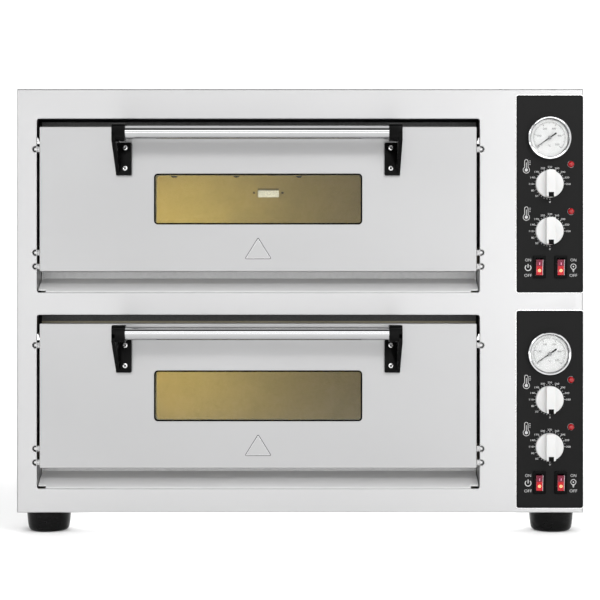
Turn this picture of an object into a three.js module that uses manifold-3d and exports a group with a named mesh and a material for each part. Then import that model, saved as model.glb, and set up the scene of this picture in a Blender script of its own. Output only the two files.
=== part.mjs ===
// Countertop double-deck electric pizza oven, in millimetres, +Z up.
// X runs to the right, the doors face -Y, and the origin is on the table under the middle of the oven.
// Inside the "oven" group, y = 0 is the front face of the fascia and y grows into the oven.
import * as THREE from "three";
import { mergeVertices } from "three/addons/utils/BufferGeometryUtils.js";
import Module from "manifold-3d";

const wasm = await Module();
wasm.setup();

// ---------------------------------------------------------------- driving dimensions

const WIDTH = 950;
const HEIGHT = 745;
const BODY_DEPTH = 800;
const FOOT_HEIGHT = 34;
const SHEET = 1.2; // casing and door sheet
const THIN = 1; // folded inner sheet
const GAP = 0.3; // clearance between pieces that meet
const ROUND = 24; // sides of a large round piece

// Decks: each group sits at the middle of its door opening's bottom edge.
const DECK_X = -70;
const DECK_BOTTOMS = { lower: 74.5, upper: 403.5 };
const OPENING = { width: 742, height: 291, corner: 3, jambDepth: 42 };

// Door, measured from the opening and from the front of the fascia.
const DOOR = { width: 731, height: 242, proud: 7.5, back: 48, above: 35, corner: 2 };
const PIVOT = { depth: 17, aboveDoor: 8.4 };
const HINGE = { stud: 3, hole: 3.4, nut: 5, nutLength: 6 };
const WINDOW = { width: 348, height: 85, corner: 6.4 };
const HANDLE = { barRadius: 11, barHalf: 233, reach: 57, belowTop: 15.7 };
const KNUCKLE = { inner: 215.4, outer: 237, half: 14, corner: 7 };
const BRACKET = { web: 6.5, footInner: 211, footThick: 7, footTop: 27.4, footBottom: 82, footCorner: 2.5 };
const GLASS_PANE = { overlap: 9, thickness: 4 };
const DOOR_PAN = { depth: 10, frontGap: 3, collarWall: 8, collarClear: 1 };

// Chamber, measured in its deck's group.
const CHAMBER = { half: 340, mouth: 50.5, floorFront: 87.3, back: 742, floor: -2, ceiling: 268 };
const STONE = { half: 338, top: 50, thickness: 15, front: 88, back: 738, chamfer: 2 };
const MOUTH_LIP = 50; // lowest edge of the mouth flange and of the side walls ahead of the stone
const MOUTH_FLANGE = { beside: 14, above: 9 };
const LEDGE_WIDTH = 14;
const VENT = { width: 47, height: 20, z: 223.5, reach: 808 };
const LAMP = { y: 640, z: 155, body: 24, flange: 32, behindWall: 26, dome: 15 };
const BORE_CLEAR = 0.6; // clearance around a lamp, gauge, gland or heating element in its hole
const ELEMENT_RADIUS = 3.5;
const ELEMENT_PASSAGE = 6;
const TOP_ELEMENT = { z: 260.5, pitch: 136, front: 170, rear: 690, tail: 770 };
const BOTTOM_ELEMENT = { z: 13, pitch: 140, front: 240, half: 270, tail: 432 };

// Sloping sill: its upper surface, as [depth, height above the opening's bottom edge].
const SILL_LINE = [
  [2.4, 1.2],
  [26, 15],
  [85, 37],
  [85, 49.7],
];
const SILL_HALF = 370;
const SILL_HEM = -8; // lowest edge of the sill's front hem
const SILL_CORNER = { width: 13, front: 2, back: 8, height: 6 }; // cut from both ends of the hem

// Bolts through the jambs: heights above the opening's bottom edge.
const NOTCH = { radius: 4.9, reach: 7.7 };
const NOTCH_HEIGHTS = [43.4, 66.6, 240.2];

// Control panels: each group sits at the middle of its panel's bottom edge.
const PANEL_X = 418.5;
const PANEL_BOTTOMS = { lower: 42.5, upper: 403.5 };
const PANEL = { width: 111, height: 330, thickness: 2, corner: 3 };
const PANEL_WINDOW = { half: 44, margin: 14 }; // the casing's cut-out behind a control panel
const CONTROL_X = -1.2; // the column of gauge and knobs, from the panel's middle
const PANEL_FACE = -(GAP + PANEL.thickness);
const GAUGE = { z: 258.5, radius: 36.5, body: 31, back: -20, faceY: -7.5, rimY: -11, zero: -235 };
const NEEDLE = { tip: 25.6, tail: -13.5, hub: 3.4 };
const KNOB = { radius: 23, skirt: 11, front: 23, gripHalf: 7.75, shaft: 3, shaftBack: -20 };
const KNOB_HEIGHTS = { top_heat: 181.5, bottom_heat: 102.5 };
const PILOT = { x: 35.2, above: 33.1, radius: 6, body: 4.5, back: -15 };
const THERMOSTAT = { half: 20, halfHeight: 21, back: 44, plateY: 14, plateHalf: 22, plateBeyond: 30 };
const TERMINAL = { half: 3, length: 10, halfThickness: 0.8 };
const SWITCH_Z = 42.6;
const SWITCH_X = { power: -17.7, light: 18.2 };
const SWITCH = { halfWidth: 10.5, halfHeight: 19, proud: 3 };
const SWITCH_BODY = { halfWidth: 9, halfHeight: 16.5, back: 22 };
const ROCKER = { halfWidth: 5.7, halfHeight: 13, front: -6.5, middle: -5.1, back: 4, restTilt: 8 };
const POCKET = { halfWidth: 6.2, halfHeight: 14.3, back: 12 };

const DIVIDER_X = 345; // wall between the baking side and the controls
const REAR_REACH = 12; // how far the cable gland stands behind the rear panel
const FRONT_REACH = HANDLE.reach + KNUCKLE.half;
const FRONT_Y = FRONT_REACH - (FRONT_REACH + BODY_DEPTH + REAR_REACH) / 2;
const FOOT = { x: 427.5, front: 40, rear: 742, radius: 37 };
const GLAND = { x: 410, z: 92, radius: 10, bore: 4, inside: 14 };
const CHASSIS_LIP = 26;
const COVER_LIP = 18;
const JACKET = { front: 92, back: 794, clear: 0.5 }; // clear: space left around the liners
const SLOT = { count: 7, pitch: 16, height: 5, length: 72 };
const SIDE_SLOTS = { depths: [150, 640], heights: [120, 520] };
const REAR_SLOTS = { x: 410, heights: [200, 520] };

// ---------------------------------------------------------------- materials

function material(color, roughness, metalness) {
  return new THREE.MeshStandardMaterial({ color, roughness, metalness });
}

const STEEL = material(0xd9dadb, 0.38, 0.9);
const DOOR_STEEL = material(0xcbccce, 0.42, 0.9);
const DULL_STEEL = material(0xa9a59a, 0.5, 0.85);
const CHROME = material(0xe8e9ea, 0.08, 1);
const BLACK_PANEL = material(0x232324, 0.4, 0);
const BLACK_PLASTIC = material(0x121213, 0.35, 0);
const RUBBER = material(0x161616, 0.45, 0);
const WHITE_PLASTIC = material(0xf0f0ef, 0.4, 0);
const RED_LENS = material(0xd2262c, 0.2, 0);
const GLASS = new THREE.MeshStandardMaterial({
  color: 0xcfc7a8,
  roughness: 0.05,
  transparent: true,
  opacity: 0.35,
});
const STONE_CLAY = material(0xb9a684, 0.9, 0);
const WOOL = material(0xc9c3a6, 0.95, 0);
const LAMP_GLASS = material(0xffdf9a, 0.15, 0);
const GREY_PLASTIC = material(0x8a8a86, 0.6, 0);

// ---------------------------------------------------------------- shapes

// A closed three.js geometry as a solid that can be cut and joined.
function solid(geometry) {
  geometry.deleteAttribute("normal");
  geometry.deleteAttribute("uv");
  const merged = mergeVertices(geometry, 1e-4);
  return new wasm.Manifold(
    new wasm.Mesh({
      numProp: 3,
      vertProperties: merged.attributes.position.array,
      triVerts: new Uint32Array(merged.index.array),
    }),
  );
}

function box(xs, ys, zs) {
  const [x0, x1] = xs;
  const [y0, y1] = ys;
  const [z0, z1] = zs;
  const geometry = new THREE.BoxGeometry(x1 - x0, y1 - y0, z1 - z0);
  geometry.translate((x0 + x1) / 2, (y0 + y1) / 2, (z0 + z1) / 2);
  return solid(geometry);
}

function polygon(points) {
  return new THREE.Shape(points.map(([a, b]) => new THREE.Vector2(a, b)));
}

function roundedRectangle(a0, b0, a1, b1, radius) {
  const shape = new THREE.Shape();
  shape.moveTo(a0 + radius, b0);
  shape.lineTo(a1 - radius, b0);
  shape.absarc(a1 - radius, b0 + radius, radius, -Math.PI / 2, 0);
  shape.absarc(a1 - radius, b1 - radius, radius, 0, Math.PI / 2);
  shape.absarc(a0 + radius, b1 - radius, radius, Math.PI / 2, Math.PI);
  shape.absarc(a0 + radius, b0 + radius, radius, Math.PI, 1.5 * Math.PI);
  return shape;
}

// A rounded rectangle about a middle point.
function roundedAbout(a, b, width, height, radius) {
  return roundedRectangle(a - width / 2, b - height / 2, a + width / 2, b + height / 2, radius);
}

const X_AXIS = new THREE.Vector3(1, 0, 0);
const Y_AXIS = new THREE.Vector3(0, 1, 0);
const Z_AXIS = new THREE.Vector3(0, 0, 1);

function extrude(shape, length, basis, curveSegments) {
  const geometry = new THREE.ExtrudeGeometry(shape, { depth: length, bevelEnabled: false, curveSegments });
  geometry.applyMatrix4(basis);
  return geometry;
}

// A shape drawn in X and Z, extruded from depth y0 to depth y1.
function alongY(shape, y0, y1, curveSegments = 1) {
  const basis = new THREE.Matrix4().makeBasis(X_AXIS, Z_AXIS, Y_AXIS.clone().negate());
  return solid(extrude(shape, y1 - y0, basis, curveSegments).translate(0, y1, 0));
}

// A shape drawn in Y and Z, extruded from x0 to x1.
function alongX(shape, x0, x1, curveSegments = 1) {
  const basis = new THREE.Matrix4().makeBasis(Y_AXIS, Z_AXIS, X_AXIS);
  return solid(extrude(shape, x1 - x0, basis, curveSegments).translate(x0, 0, 0));
}

// A turned solid about the given axis; the profile is [radius, place along the axis], lowest place first.
function turned(profile, axis, segments) {
  const points = profile.map(([radius, along]) => new THREE.Vector2(radius, along));
  const geometry = new THREE.LatheGeometry(points, segments);
  geometry.applyQuaternion(new THREE.Quaternion().setFromUnitVectors(Y_AXIS, axis));
  return solid(geometry);
}

function rod(radius, axis, from, to, segments = 12) {
  const profile = [
    [0, from],
    [radius, from],
    [radius, to],
    [0, to],
  ];
  return turned(profile, axis, segments);
}

// A path whose steps fall on its own points, so a straight run is one step and a bend is several.
class Polyline extends THREE.Curve {
  constructor(points) {
    super();
    this.points = points;
  }

  getPointAt(u) {
    return this.points[Math.round(u * (this.points.length - 1))].clone();
  }

  getTangentAt(u) {
    const last = this.points.length - 1;
    const index = Math.round(u * last);
    const ahead = this.points[Math.min(index + 1, last)];
    const behind = this.points[Math.max(index - 1, 0)];
    return ahead.clone().sub(behind).normalize();
  }
}

// A bent rod of round section through the given points; a full circle has two sides for each curve segment.
function bentRod(points, radius, sides = 8) {
  const section = new THREE.Shape();
  section.absarc(0, 0, radius, 0, 2 * Math.PI);
  const geometry = new THREE.ExtrudeGeometry(section, {
    steps: points.length - 1,
    curveSegments: sides / 2,
    extrudePath: new Polyline(points),
  });
  return solid(geometry);
}

function union(...solids) {
  return solids.reduce((sum, next) => sum.add(next));
}

function cut(body, ...tools) {
  return tools.reduce((rest, tool) => rest.subtract(tool), body);
}

function mirroredX(makeSide) {
  return union(makeSide(-1), makeSide(1));
}

function sorted(a, b) {
  return a < b ? [a, b] : [b, a];
}

// A named mesh in a group.
function piece(parent, name, shape, meshMaterial) {
  const { vertProperties, triVerts } = shape.getMesh();
  const geometry = new THREE.BufferGeometry();
  geometry.setAttribute("position", new THREE.BufferAttribute(vertProperties, 3));
  geometry.setIndex(new THREE.BufferAttribute(triVerts, 1));
  geometry.computeVertexNormals();
  const mesh = new THREE.Mesh(geometry, meshMaterial);
  mesh.name = name;
  parent.add(mesh);
  return mesh;
}

function groupAt(parent, x, y, z) {
  const group = new THREE.Group();
  group.position.set(x, y, z);
  parent.add(group);
  return group;
}

// ---------------------------------------------------------------- casing

const HALF = WIDTH / 2;
const RIM_DEPTH = 24; // return flange around the fascia
const INNER_HALF = HALF - SHEET - GAP; // what fits between the side panels

// Three-sided frame behind the edge of a door opening, in the deck's own coordinates.
function jamb() {
  const half = OPENING.width / 2;
  const depths = [0, OPENING.jambDepth];
  const top = OPENING.height + SHEET;
  const sides = mirroredX((side) => box(sorted(side * half, side * (half + SHEET)), depths, [-SHEET, top]));
  const head = box([-half - SHEET, half + SHEET], depths, [OPENING.height, top]);
  return sides.add(head);
}

// Round-ended slot at the edge of the opening, which shows the head of a bolt in the jamb.
function notch(side, half) {
  const middle = half + NOTCH.reach - NOTCH.radius;
  const depths = [-1, SHEET + GAP];
  const end = rod(NOTCH.radius, Y_AXIS, ...depths, ROUND).translate([side * middle, 0, 0]);
  return end.add(box(sorted(side * half, side * middle), depths, [-NOTCH.radius, NOTCH.radius]));
}

// What is cut from the fascia at a deck: the opening, the notches at the bolts and the hinge holes.
function openingCut() {
  const half = OPENING.width / 2;
  const outline = roundedAbout(0, OPENING.height / 2, OPENING.width, OPENING.height, OPENING.corner);
  const hole = alongY(outline, -1, SHEET + 1);
  const notches = NOTCH_HEIGHTS.map((z) => mirroredX((side) => notch(side, half).translate([0, 0, z])));
  const hingeHole = rod(HINGE.hole, X_AXIS, -half - SHEET - 1, half + SHEET + 1).translate([
    0,
    PIVOT.depth,
    DOOR.above + PIVOT.aboveDoor,
  ]);
  return union(hole, hingeHole, ...notches);
}

function addFrontFascia(oven) {
  const outline = roundedRectangle(-HALF, FOOT_HEIGHT, HALF, HEIGHT, SHEET);
  const inside = roundedRectangle(-HALF + SHEET, FOOT_HEIGHT + SHEET, HALF - SHEET, HEIGHT - SHEET, THIN);
  let fascia = alongY(outline, 0, RIM_DEPTH).subtract(alongY(inside, SHEET, RIM_DEPTH + 1));
  for (const bottom of Object.values(DECK_BOTTOMS)) {
    fascia = fascia.add(jamb().translate([DECK_X, 0, bottom]));
    fascia = fascia.subtract(openingCut().translate([DECK_X, 0, bottom]));
  }
  for (const bottom of Object.values(PANEL_BOTTOMS)) {
    const window = box(
      [PANEL_X + CONTROL_X - PANEL_WINDOW.half, PANEL_X + CONTROL_X + PANEL_WINDOW.half],
      [-1, SHEET + 1],
      [bottom + PANEL_WINDOW.margin, bottom + PANEL.height - PANEL_WINDOW.margin],
    );
    fascia = fascia.subtract(window);
  }
  piece(oven, "front_fascia", fascia, STEEL);
}

// Floor tray with its upturned edges and the wall between the chambers and the controls.
function addBaseChassis(oven) {
  const front = RIM_DEPTH + GAP;
  const rear = BODY_DEPTH - SHEET - GAP;
  const upright = [FOOT_HEIGHT, FOOT_HEIGHT + CHASSIS_LIP];
  const floor = box([-INNER_HALF, INNER_HALF], [front, rear], [FOOT_HEIGHT, FOOT_HEIGHT + SHEET]);
  const sideLips = mirroredX((side) =>
    box(sorted(side * (INNER_HALF - SHEET), side * INNER_HALF), [front, rear], upright),
  );
  const rearLip = box([-INNER_HALF, INNER_HALF], [rear - SHEET, rear], upright);
  const divider = box([DIVIDER_X, DIVIDER_X + SHEET], [front + 6, rear], [FOOT_HEIGHT, HEIGHT - 2 * SHEET]);
  let chassis = union(floor, sideLips, rearLip, divider);
  for (const hole of bottomElementPassages(DIVIDER_X - 2, DIVIDER_X + SHEET + 2)) {
    chassis = chassis.subtract(hole);
  }
  piece(oven, "base_chassis", chassis, DULL_STEEL);
}

// Holes around the tails of the bottom heating elements, between two places across the oven.
function bottomElementPassages(x0, x1) {
  const holes = [];
  for (const bottom of Object.values(DECK_BOTTOMS)) {
    for (const y of [BOTTOM_ELEMENT.front, BOTTOM_ELEMENT.front + 3 * BOTTOM_ELEMENT.pitch]) {
      holes.push(rod(ELEMENT_PASSAGE, X_AXIS, x0, x1, 8).translate([0, y, bottom + BOTTOM_ELEMENT.z]));
    }
  }
  return holes;
}

function addTopCover(oven) {
  const front = RIM_DEPTH + GAP;
  const plate = box([-HALF, HALF], [front, BODY_DEPTH], [HEIGHT - SHEET, HEIGHT]);
  const lips = mirroredX((side) =>
    box(
      sorted(side * (INNER_HALF - THIN), side * INNER_HALF),
      [front, BODY_DEPTH - SHEET - GAP],
      [HEIGHT - SHEET - COVER_LIP, HEIGHT - SHEET / 2],
    ),
  );
  piece(oven, "top_cover", plate.add(lips), STEEL);
}

// A stack of cooling slots that cuts a sheet at (x, y), reaching that far each way, from height z upwards.
function slotStack(x, y, z, reachX, reachY) {
  const slots = [];
  for (let index = 0; index < SLOT.count; index += 1) {
    const low = z + index * SLOT.pitch;
    slots.push(box([x - reachX, x + reachX], [y - reachY, y + reachY], [low, low + SLOT.height]));
  }
  return union(...slots);
}

function addSidePanels(oven) {
  const ys = [RIM_DEPTH + GAP, BODY_DEPTH];
  const zs = [FOOT_HEIGHT, HEIGHT - SHEET - GAP];
  piece(oven, "left_side_panel", box([-HALF, -HALF + SHEET], ys, zs), STEEL);
  const right = box([HALF - SHEET, HALF], ys, zs);
  const slots = SIDE_SLOTS.heights.flatMap((z) =>
    SIDE_SLOTS.depths.map((y) => slotStack(HALF, y, z, 2 * SHEET, SLOT.length / 2)),
  );
  piece(oven, "right_side_panel", cut(right, ...slots), STEEL);
}

function addRearPanel(oven) {
  const sheet = box(
    [-INNER_HALF, INNER_HALF],
    [BODY_DEPTH - SHEET, BODY_DEPTH],
    [FOOT_HEIGHT, HEIGHT - SHEET - GAP],
  );
  const ducts = Object.values(DECK_BOTTOMS).map((bottom) => {
    const clear = SHEET + 1;
    return box(
      [DECK_X - VENT.width / 2 - clear, DECK_X + VENT.width / 2 + clear],
      [BODY_DEPTH - SHEET - 1, BODY_DEPTH + 1],
      [bottom + VENT.z - VENT.height / 2 - clear, bottom + VENT.z + VENT.height / 2 + clear],
    );
  });
  const glandHole = rod(GLAND.radius + BORE_CLEAR, Y_AXIS, BODY_DEPTH - 3, BODY_DEPTH + 1, 16);
  const slots = REAR_SLOTS.heights.map((z) =>
    slotStack(REAR_SLOTS.x, BODY_DEPTH, z, SLOT.length / 2, 2 * SHEET),
  );
  const panel = cut(sheet, glandHole.translate([GLAND.x, 0, GLAND.z]), ...ducts, ...slots);
  piece(oven, "rear_panel", panel, STEEL);
}

function addCableGland(oven) {
  const profile = [
    [0, BODY_DEPTH - GLAND.inside],
    [GLAND.radius, BODY_DEPTH - GLAND.inside],
    [GLAND.radius, BODY_DEPTH + GAP],
    [GLAND.radius + 4, BODY_DEPTH + GAP],
    [GLAND.radius + 4, BODY_DEPTH + 6],
    [GLAND.radius + 1, BODY_DEPTH + 10],
    [GLAND.bore + 2, BODY_DEPTH + REAR_REACH],
    [GLAND.bore, BODY_DEPTH + REAR_REACH],
    [GLAND.bore, BODY_DEPTH + 2],
    [0, BODY_DEPTH + 2],
  ];
  const gland = turned(profile, Y_AXIS, 16).translate([GLAND.x, 0, GLAND.z]);
  piece(oven, "cable_gland", gland, BLACK_PLASTIC);
}

function addFeet(oven) {
  const profile = [
    [0, 0],
    [FOOT.radius - 6.5, 0],
    [FOOT.radius - 4, 1.5],
    [FOOT.radius - 3.2, 5],
    [FOOT.radius - 2.3, 26],
    [FOOT.radius, 28],
    [FOOT.radius, FOOT_HEIGHT - GAP],
    [0, FOOT_HEIGHT - GAP],
  ];
  for (const [end, y] of [["front", FOOT.front], ["rear", FOOT.rear]]) {
    for (const [side, x] of [["left", -FOOT.x], ["right", FOOT.x]]) {
      const foot = turned(profile, Z_AXIS, ROUND).translate([x, y, 0]);
      piece(oven, `${end}_${side}_foot`, foot, RUBBER);
    }
  }
}

// Mineral wool around both chambers, open to the front where the liners slide in.
function addInsulation(oven) {
  const block = box(
    [-HALF + 5, DIVIDER_X - SHEET],
    [JACKET.front, JACKET.back],
    [FOOT_HEIGHT + 3, HEIGHT - 4],
  );
  const tools = bottomElementPassages(DECK_X + CHAMBER.half, DIVIDER_X);
  for (const bottom of Object.values(DECK_BOTTOMS)) {
    tools.push(...jacketCuts().map((tool) => tool.translate([DECK_X, 0, bottom])));
  }
  piece(oven, "insulation_jacket", cut(block, ...tools), WOOL);
}

// What a deck takes out of the insulation: its liner, its vent duct, its lamp and two element tails.
function jacketCuts() {
  const wall = SHEET + JACKET.clear;
  const half = CHAMBER.half + wall;
  const ventHalf = VENT.width / 2 + wall;
  const ventHigh = VENT.height / 2 + wall;
  const liner = box([-half, half], [0, CHAMBER.back + wall], [CHAMBER.floor - wall, CHAMBER.ceiling + wall]);
  const vent = box([-ventHalf, ventHalf], [CHAMBER.back, BODY_DEPTH], [VENT.z - ventHigh, VENT.z + ventHigh]);
  const lampEnd = -CHAMBER.half - LAMP.behindWall - 4;
  const lamp = rod(LAMP.body + 1, X_AXIS, lampEnd, -CHAMBER.half, 20).translate([0, LAMP.y, LAMP.z]);
  const tails = mirroredX((side) =>
    rod(ELEMENT_PASSAGE, Y_AXIS, CHAMBER.back, BODY_DEPTH, 8).translate([
      side * 1.5 * TOP_ELEMENT.pitch,
      0,
      TOP_ELEMENT.z,
    ]),
  );
  return [liner, vent, lamp, tails];
}

// ---------------------------------------------------------------- a deck's fixed pieces

function addLiner(deck, name) {
  const { half, mouth, back, floor, ceiling, floorFront } = CHAMBER;
  const outerHalf = half + SHEET;
  const outer = box([-outerHalf, outerHalf], [mouth, back + SHEET], [floor - SHEET, ceiling + SHEET]);
  const inner = box([-half, half], [mouth - 1, back], [floor, ceiling]);
  const aheadOfStone = box([-outerHalf - 1, outerHalf + 1], [mouth - 1, floorFront], [floor - 3, MOUTH_LIP]);
  const flangeHalf = OPENING.width / 2 + MOUTH_FLANGE.beside;
  const flangeTop = OPENING.height + MOUTH_FLANGE.above;
  const flange = box([-flangeHalf, flangeHalf], [mouth, mouth + SHEET], [MOUTH_LIP, flangeTop]);
  const ledgeTop = STONE.top - STONE.thickness - GAP;
  const ledges = mirroredX((side) =>
    box(
      sorted(side * (half - LEDGE_WIDTH), side * (half + SHEET / 2)),
      [floorFront, back + SHEET / 2],
      [ledgeTop - THIN, ledgeTop],
    ),
  );
  const shell = outer.add(flange).subtract(inner).subtract(aheadOfStone);
  const withDuct = union(shell, ledges, ventBox(SHEET, back, VENT.reach));
  const liner = cut(withDuct, ventBox(0, back - 1, VENT.reach + 1), ...linerHoles());
  piece(deck, `${name}_chamber_liner`, liner, DULL_STEEL);
}

// The vent duct's outline, grown by a wall, between two depths.
function ventBox(wall, from, to) {
  const half = VENT.width / 2 + wall;
  const high = VENT.height / 2 + wall;
  return box([-half, half], [from, to], [VENT.z - high, VENT.z + high]);
}

// Holes in the liner for the lamp and for the ends of both heating elements.
function linerHoles() {
  const { half, back } = CHAMBER;
  const lamp = rod(LAMP.body + BORE_CLEAR, X_AXIS, -half - SHEET - 1, -half + 1, 20);
  const holes = [lamp.translate([0, LAMP.y, LAMP.z])];
  const tail = ELEMENT_RADIUS + BORE_CLEAR;
  for (const run of [0, 3]) {
    const y = BOTTOM_ELEMENT.front + run * BOTTOM_ELEMENT.pitch;
    holes.push(rod(tail, X_AXIS, half - 1, half + SHEET + 1).translate([0, y, BOTTOM_ELEMENT.z]));
  }
  for (const run of [-1.5, 1.5]) {
    const x = run * TOP_ELEMENT.pitch;
    holes.push(rod(tail, Y_AXIS, back - 1, back + SHEET + 1).translate([x, 0, TOP_ELEMENT.z]));
  }
  return holes;
}

function addSill(deck, name) {
  const [frontEdge, knee, foot, head] = SILL_LINE;
  const line = polygon([
    [frontEdge[0], SILL_HEM],
    frontEdge,
    knee,
    foot,
    head,
    [head[0] + THIN, head[1]],
    [foot[0] + THIN, foot[1] - 1],
    [knee[0] + 0.6, knee[1] - THIN],
    [frontEdge[0] + THIN, frontEdge[1] - THIN],
    [frontEdge[0] + THIN, SILL_HEM],
  ]);
  const cheekFront = OPENING.jambDepth + 1;
  const rise = (foot[1] - knee[1]) / (foot[0] - knee[0]);
  const cheek = polygon([
    [cheekFront, knee[1] + rise * (cheekFront - knee[0]) - 1],
    [foot[0] + THIN, foot[1] - 0.8],
    [head[0] + THIN, head[1]],
    [cheekFront, head[1]],
  ]);
  const cheeks = mirroredX((side) => alongX(cheek, ...sorted(side * (SILL_HALF - THIN), side * SILL_HALF)));
  const cornerCuts = mirroredX((side) =>
    box(
      sorted(side * (SILL_HALF - SILL_CORNER.width), side * (SILL_HALF + 1)),
      [SILL_CORNER.front, SILL_CORNER.back],
      [SILL_HEM - 1, SILL_CORNER.height],
    ),
  );
  const sill = alongX(line, -SILL_HALF, SILL_HALF).add(cheeks).subtract(cornerCuts);
  piece(deck, `${name}_sill_plate`, sill, STEEL);
}

function addStone(deck, name) {
  const { half, top, thickness, front, back, chamfer } = STONE;
  const bottom = top - thickness;
  const section = polygon([
    [front, bottom],
    [back, bottom],
    [back, top - chamfer],
    [back - chamfer, top],
    [front + chamfer, top],
    [front, top - chamfer],
  ]);
  piece(deck, `${name}_baking_stone`, alongX(section, -half, half), STONE_CLAY);
}

// The points of a half-circle bend from one run to the next, ends included.
function bendPoints(middle, from, side, steps = 8) {
  const points = [];
  for (let step = 0; step <= steps; step += 1) {
    const turn = (Math.PI * step) / steps;
    points.push(middle.clone().addScaledVector(from, Math.cos(turn)).addScaledVector(side, Math.sin(turn)));
  }
  return points;
}

// Four runs from back to front under the ceiling, with both tails leaving through the back wall.
function addTopElement(deck, name) {
  const { z, pitch, front, rear, tail } = TOP_ELEMENT;
  const radius = pitch / 2;
  const points = [new THREE.Vector3(-1.5 * pitch, tail, z)];
  for (let run = 0; run < 3; run += 1) {
    const atFront = run % 2 === 0;
    const middle = new THREE.Vector3((run - 1) * pitch, atFront ? front : rear - radius, z);
    const outward = new THREE.Vector3(0, atFront ? -radius : radius, 0);
    points.push(...bendPoints(middle, new THREE.Vector3(-radius, 0, 0), outward));
  }
  points.push(new THREE.Vector3(1.5 * pitch, tail, z));
  piece(deck, `${name}_top_heating_element`, bentRod(points, ELEMENT_RADIUS), DULL_STEEL);
}

// Four runs from side to side under the stone, with both tails leaving through the right wall.
function addBottomElement(deck, name) {
  const { z, pitch, front, half, tail } = BOTTOM_ELEMENT;
  const radius = pitch / 2;
  const points = [new THREE.Vector3(tail, front, z)];
  for (let run = 0; run < 3; run += 1) {
    const atLeft = run % 2 === 0;
    const bendX = atLeft ? -half + radius : half - radius;
    const middle = new THREE.Vector3(bendX, front + (run + 0.5) * pitch, z);
    const outward = new THREE.Vector3(atLeft ? -radius : radius, 0, 0);
    points.push(...bendPoints(middle, new THREE.Vector3(0, -radius, 0), outward));
  }
  points.push(new THREE.Vector3(tail, front + 3 * pitch, z));
  piece(deck, `${name}_bottom_heating_element`, bentRod(points, ELEMENT_RADIUS), DULL_STEEL);
}

function addLamp(deck, name) {
  const wall = -CHAMBER.half;
  const profile = [
    [0, wall - LAMP.behindWall],
    [LAMP.body, wall - LAMP.behindWall],
    [LAMP.body, wall + GAP],
    [LAMP.flange, wall + GAP],
    [LAMP.flange, wall + 3],
    [LAMP.body, wall + 8],
    [LAMP.body / 2, wall + LAMP.dome - 2],
    [0, wall + LAMP.dome],
  ];
  const lamp = turned(profile, X_AXIS, 20).translate([0, LAMP.y, LAMP.z]);
  piece(deck, `${name}_chamber_lamp`, lamp, LAMP_GLASS);
}

// ---------------------------------------------------------------- doors

// The door group's origin is on the hinge line, so y = 0 and z = 0 are the pivot.
const DOOR_FACE = -DOOR.proud - PIVOT.depth;
const DOOR_BACK = DOOR.back - PIVOT.depth;
const DOOR_LOW = -PIVOT.aboveDoor;
const DOOR_TOP = DOOR_LOW + DOOR.height;
const DOOR_MIDDLE = (DOOR_LOW + DOOR_TOP) / 2;
const SHELL_BACK = DOOR_BACK - DOOR_PAN.frontGap;

function addDoorShell(door, name) {
  const half = DOOR.width / 2;
  const outline = roundedAbout(0, DOOR_MIDDLE, DOOR.width, DOOR.height, DOOR.corner);
  const inside = roundedAbout(0, DOOR_MIDDLE, DOOR.width - 2 * SHEET, DOOR.height - 2 * SHEET, THIN);
  const studs = mirroredX((side) => {
    const axis = side > 0 ? X_AXIS : X_AXIS.clone().negate();
    const jambFace = OPENING.width / 2 + SHEET + GAP;
    const profile = [
      [0, half - 1],
      [HINGE.stud, half - 1],
      [HINGE.stud, jambFace],
      [HINGE.nut, jambFace],
      [HINGE.nut, jambFace + HINGE.nutLength - 2.5],
      [HINGE.nut - 1.5, jambFace + HINGE.nutLength - 0.6],
      [0, jambFace + HINGE.nutLength],
    ];
    return turned(profile, axis, 12);
  });
  const shell = cut(
    alongY(outline, DOOR_FACE, SHELL_BACK),
    alongY(inside, DOOR_FACE + SHEET, SHELL_BACK + 1),
    alongY(windowOutline(0), DOOR_FACE - 1, DOOR_FACE + SHEET + 1, 3),
  );
  piece(door, `${name}_door_shell`, shell.add(studs), DOOR_STEEL);
}

// Pan that closes the back of the door, with a collar that frames the window and holds the glass.
function addDoorInnerPanel(door, name) {
  const fit = 2 * (SHEET + GAP);
  const width = DOOR.width - fit;
  const height = DOOR.height - fit;
  const panFront = SHELL_BACK - DOOR_PAN.depth;
  const outline = roundedAbout(0, DOOR_MIDDLE, width, height, THIN);
  const hollow = roundedAbout(0, DOOR_MIDDLE, width - 2 * THIN, height - 2 * THIN, THIN);
  const pan = cut(alongY(outline, panFront, DOOR_BACK), alongY(hollow, panFront - 1, DOOR_BACK - SHEET));
  const collarFront = DOOR_FACE + SHEET + GLASS_PANE.thickness + 2 * GAP;
  const opening = windowOutline(DOOR_PAN.collarClear);
  const collar = alongY(windowOutline(DOOR_PAN.collarClear + DOOR_PAN.collarWall), collarFront, DOOR_BACK);
  const panel = pan.add(collar).subtract(alongY(opening, collarFront - 1, DOOR_BACK + 1));
  piece(door, `${name}_door_inner_panel`, panel, DULL_STEEL);
}

// The window's outline, grown on every side.
function windowOutline(grown) {
  return roundedAbout(0, DOOR_MIDDLE, WINDOW.width + 2 * grown, WINDOW.height + 2 * grown, WINDOW.corner);
}

function addDoorGlass(door, name) {
  const front = DOOR_FACE + SHEET + GAP;
  const pane = alongY(windowOutline(GLASS_PANE.overlap), front, front + GLASS_PANE.thickness);
  piece(door, `${name}_door_glass`, pane, GLASS);
}

const BAR_Y = -HANDLE.reach - PIVOT.depth;
const BAR_Z = DOOR_TOP - HANDLE.belowTop;

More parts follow.
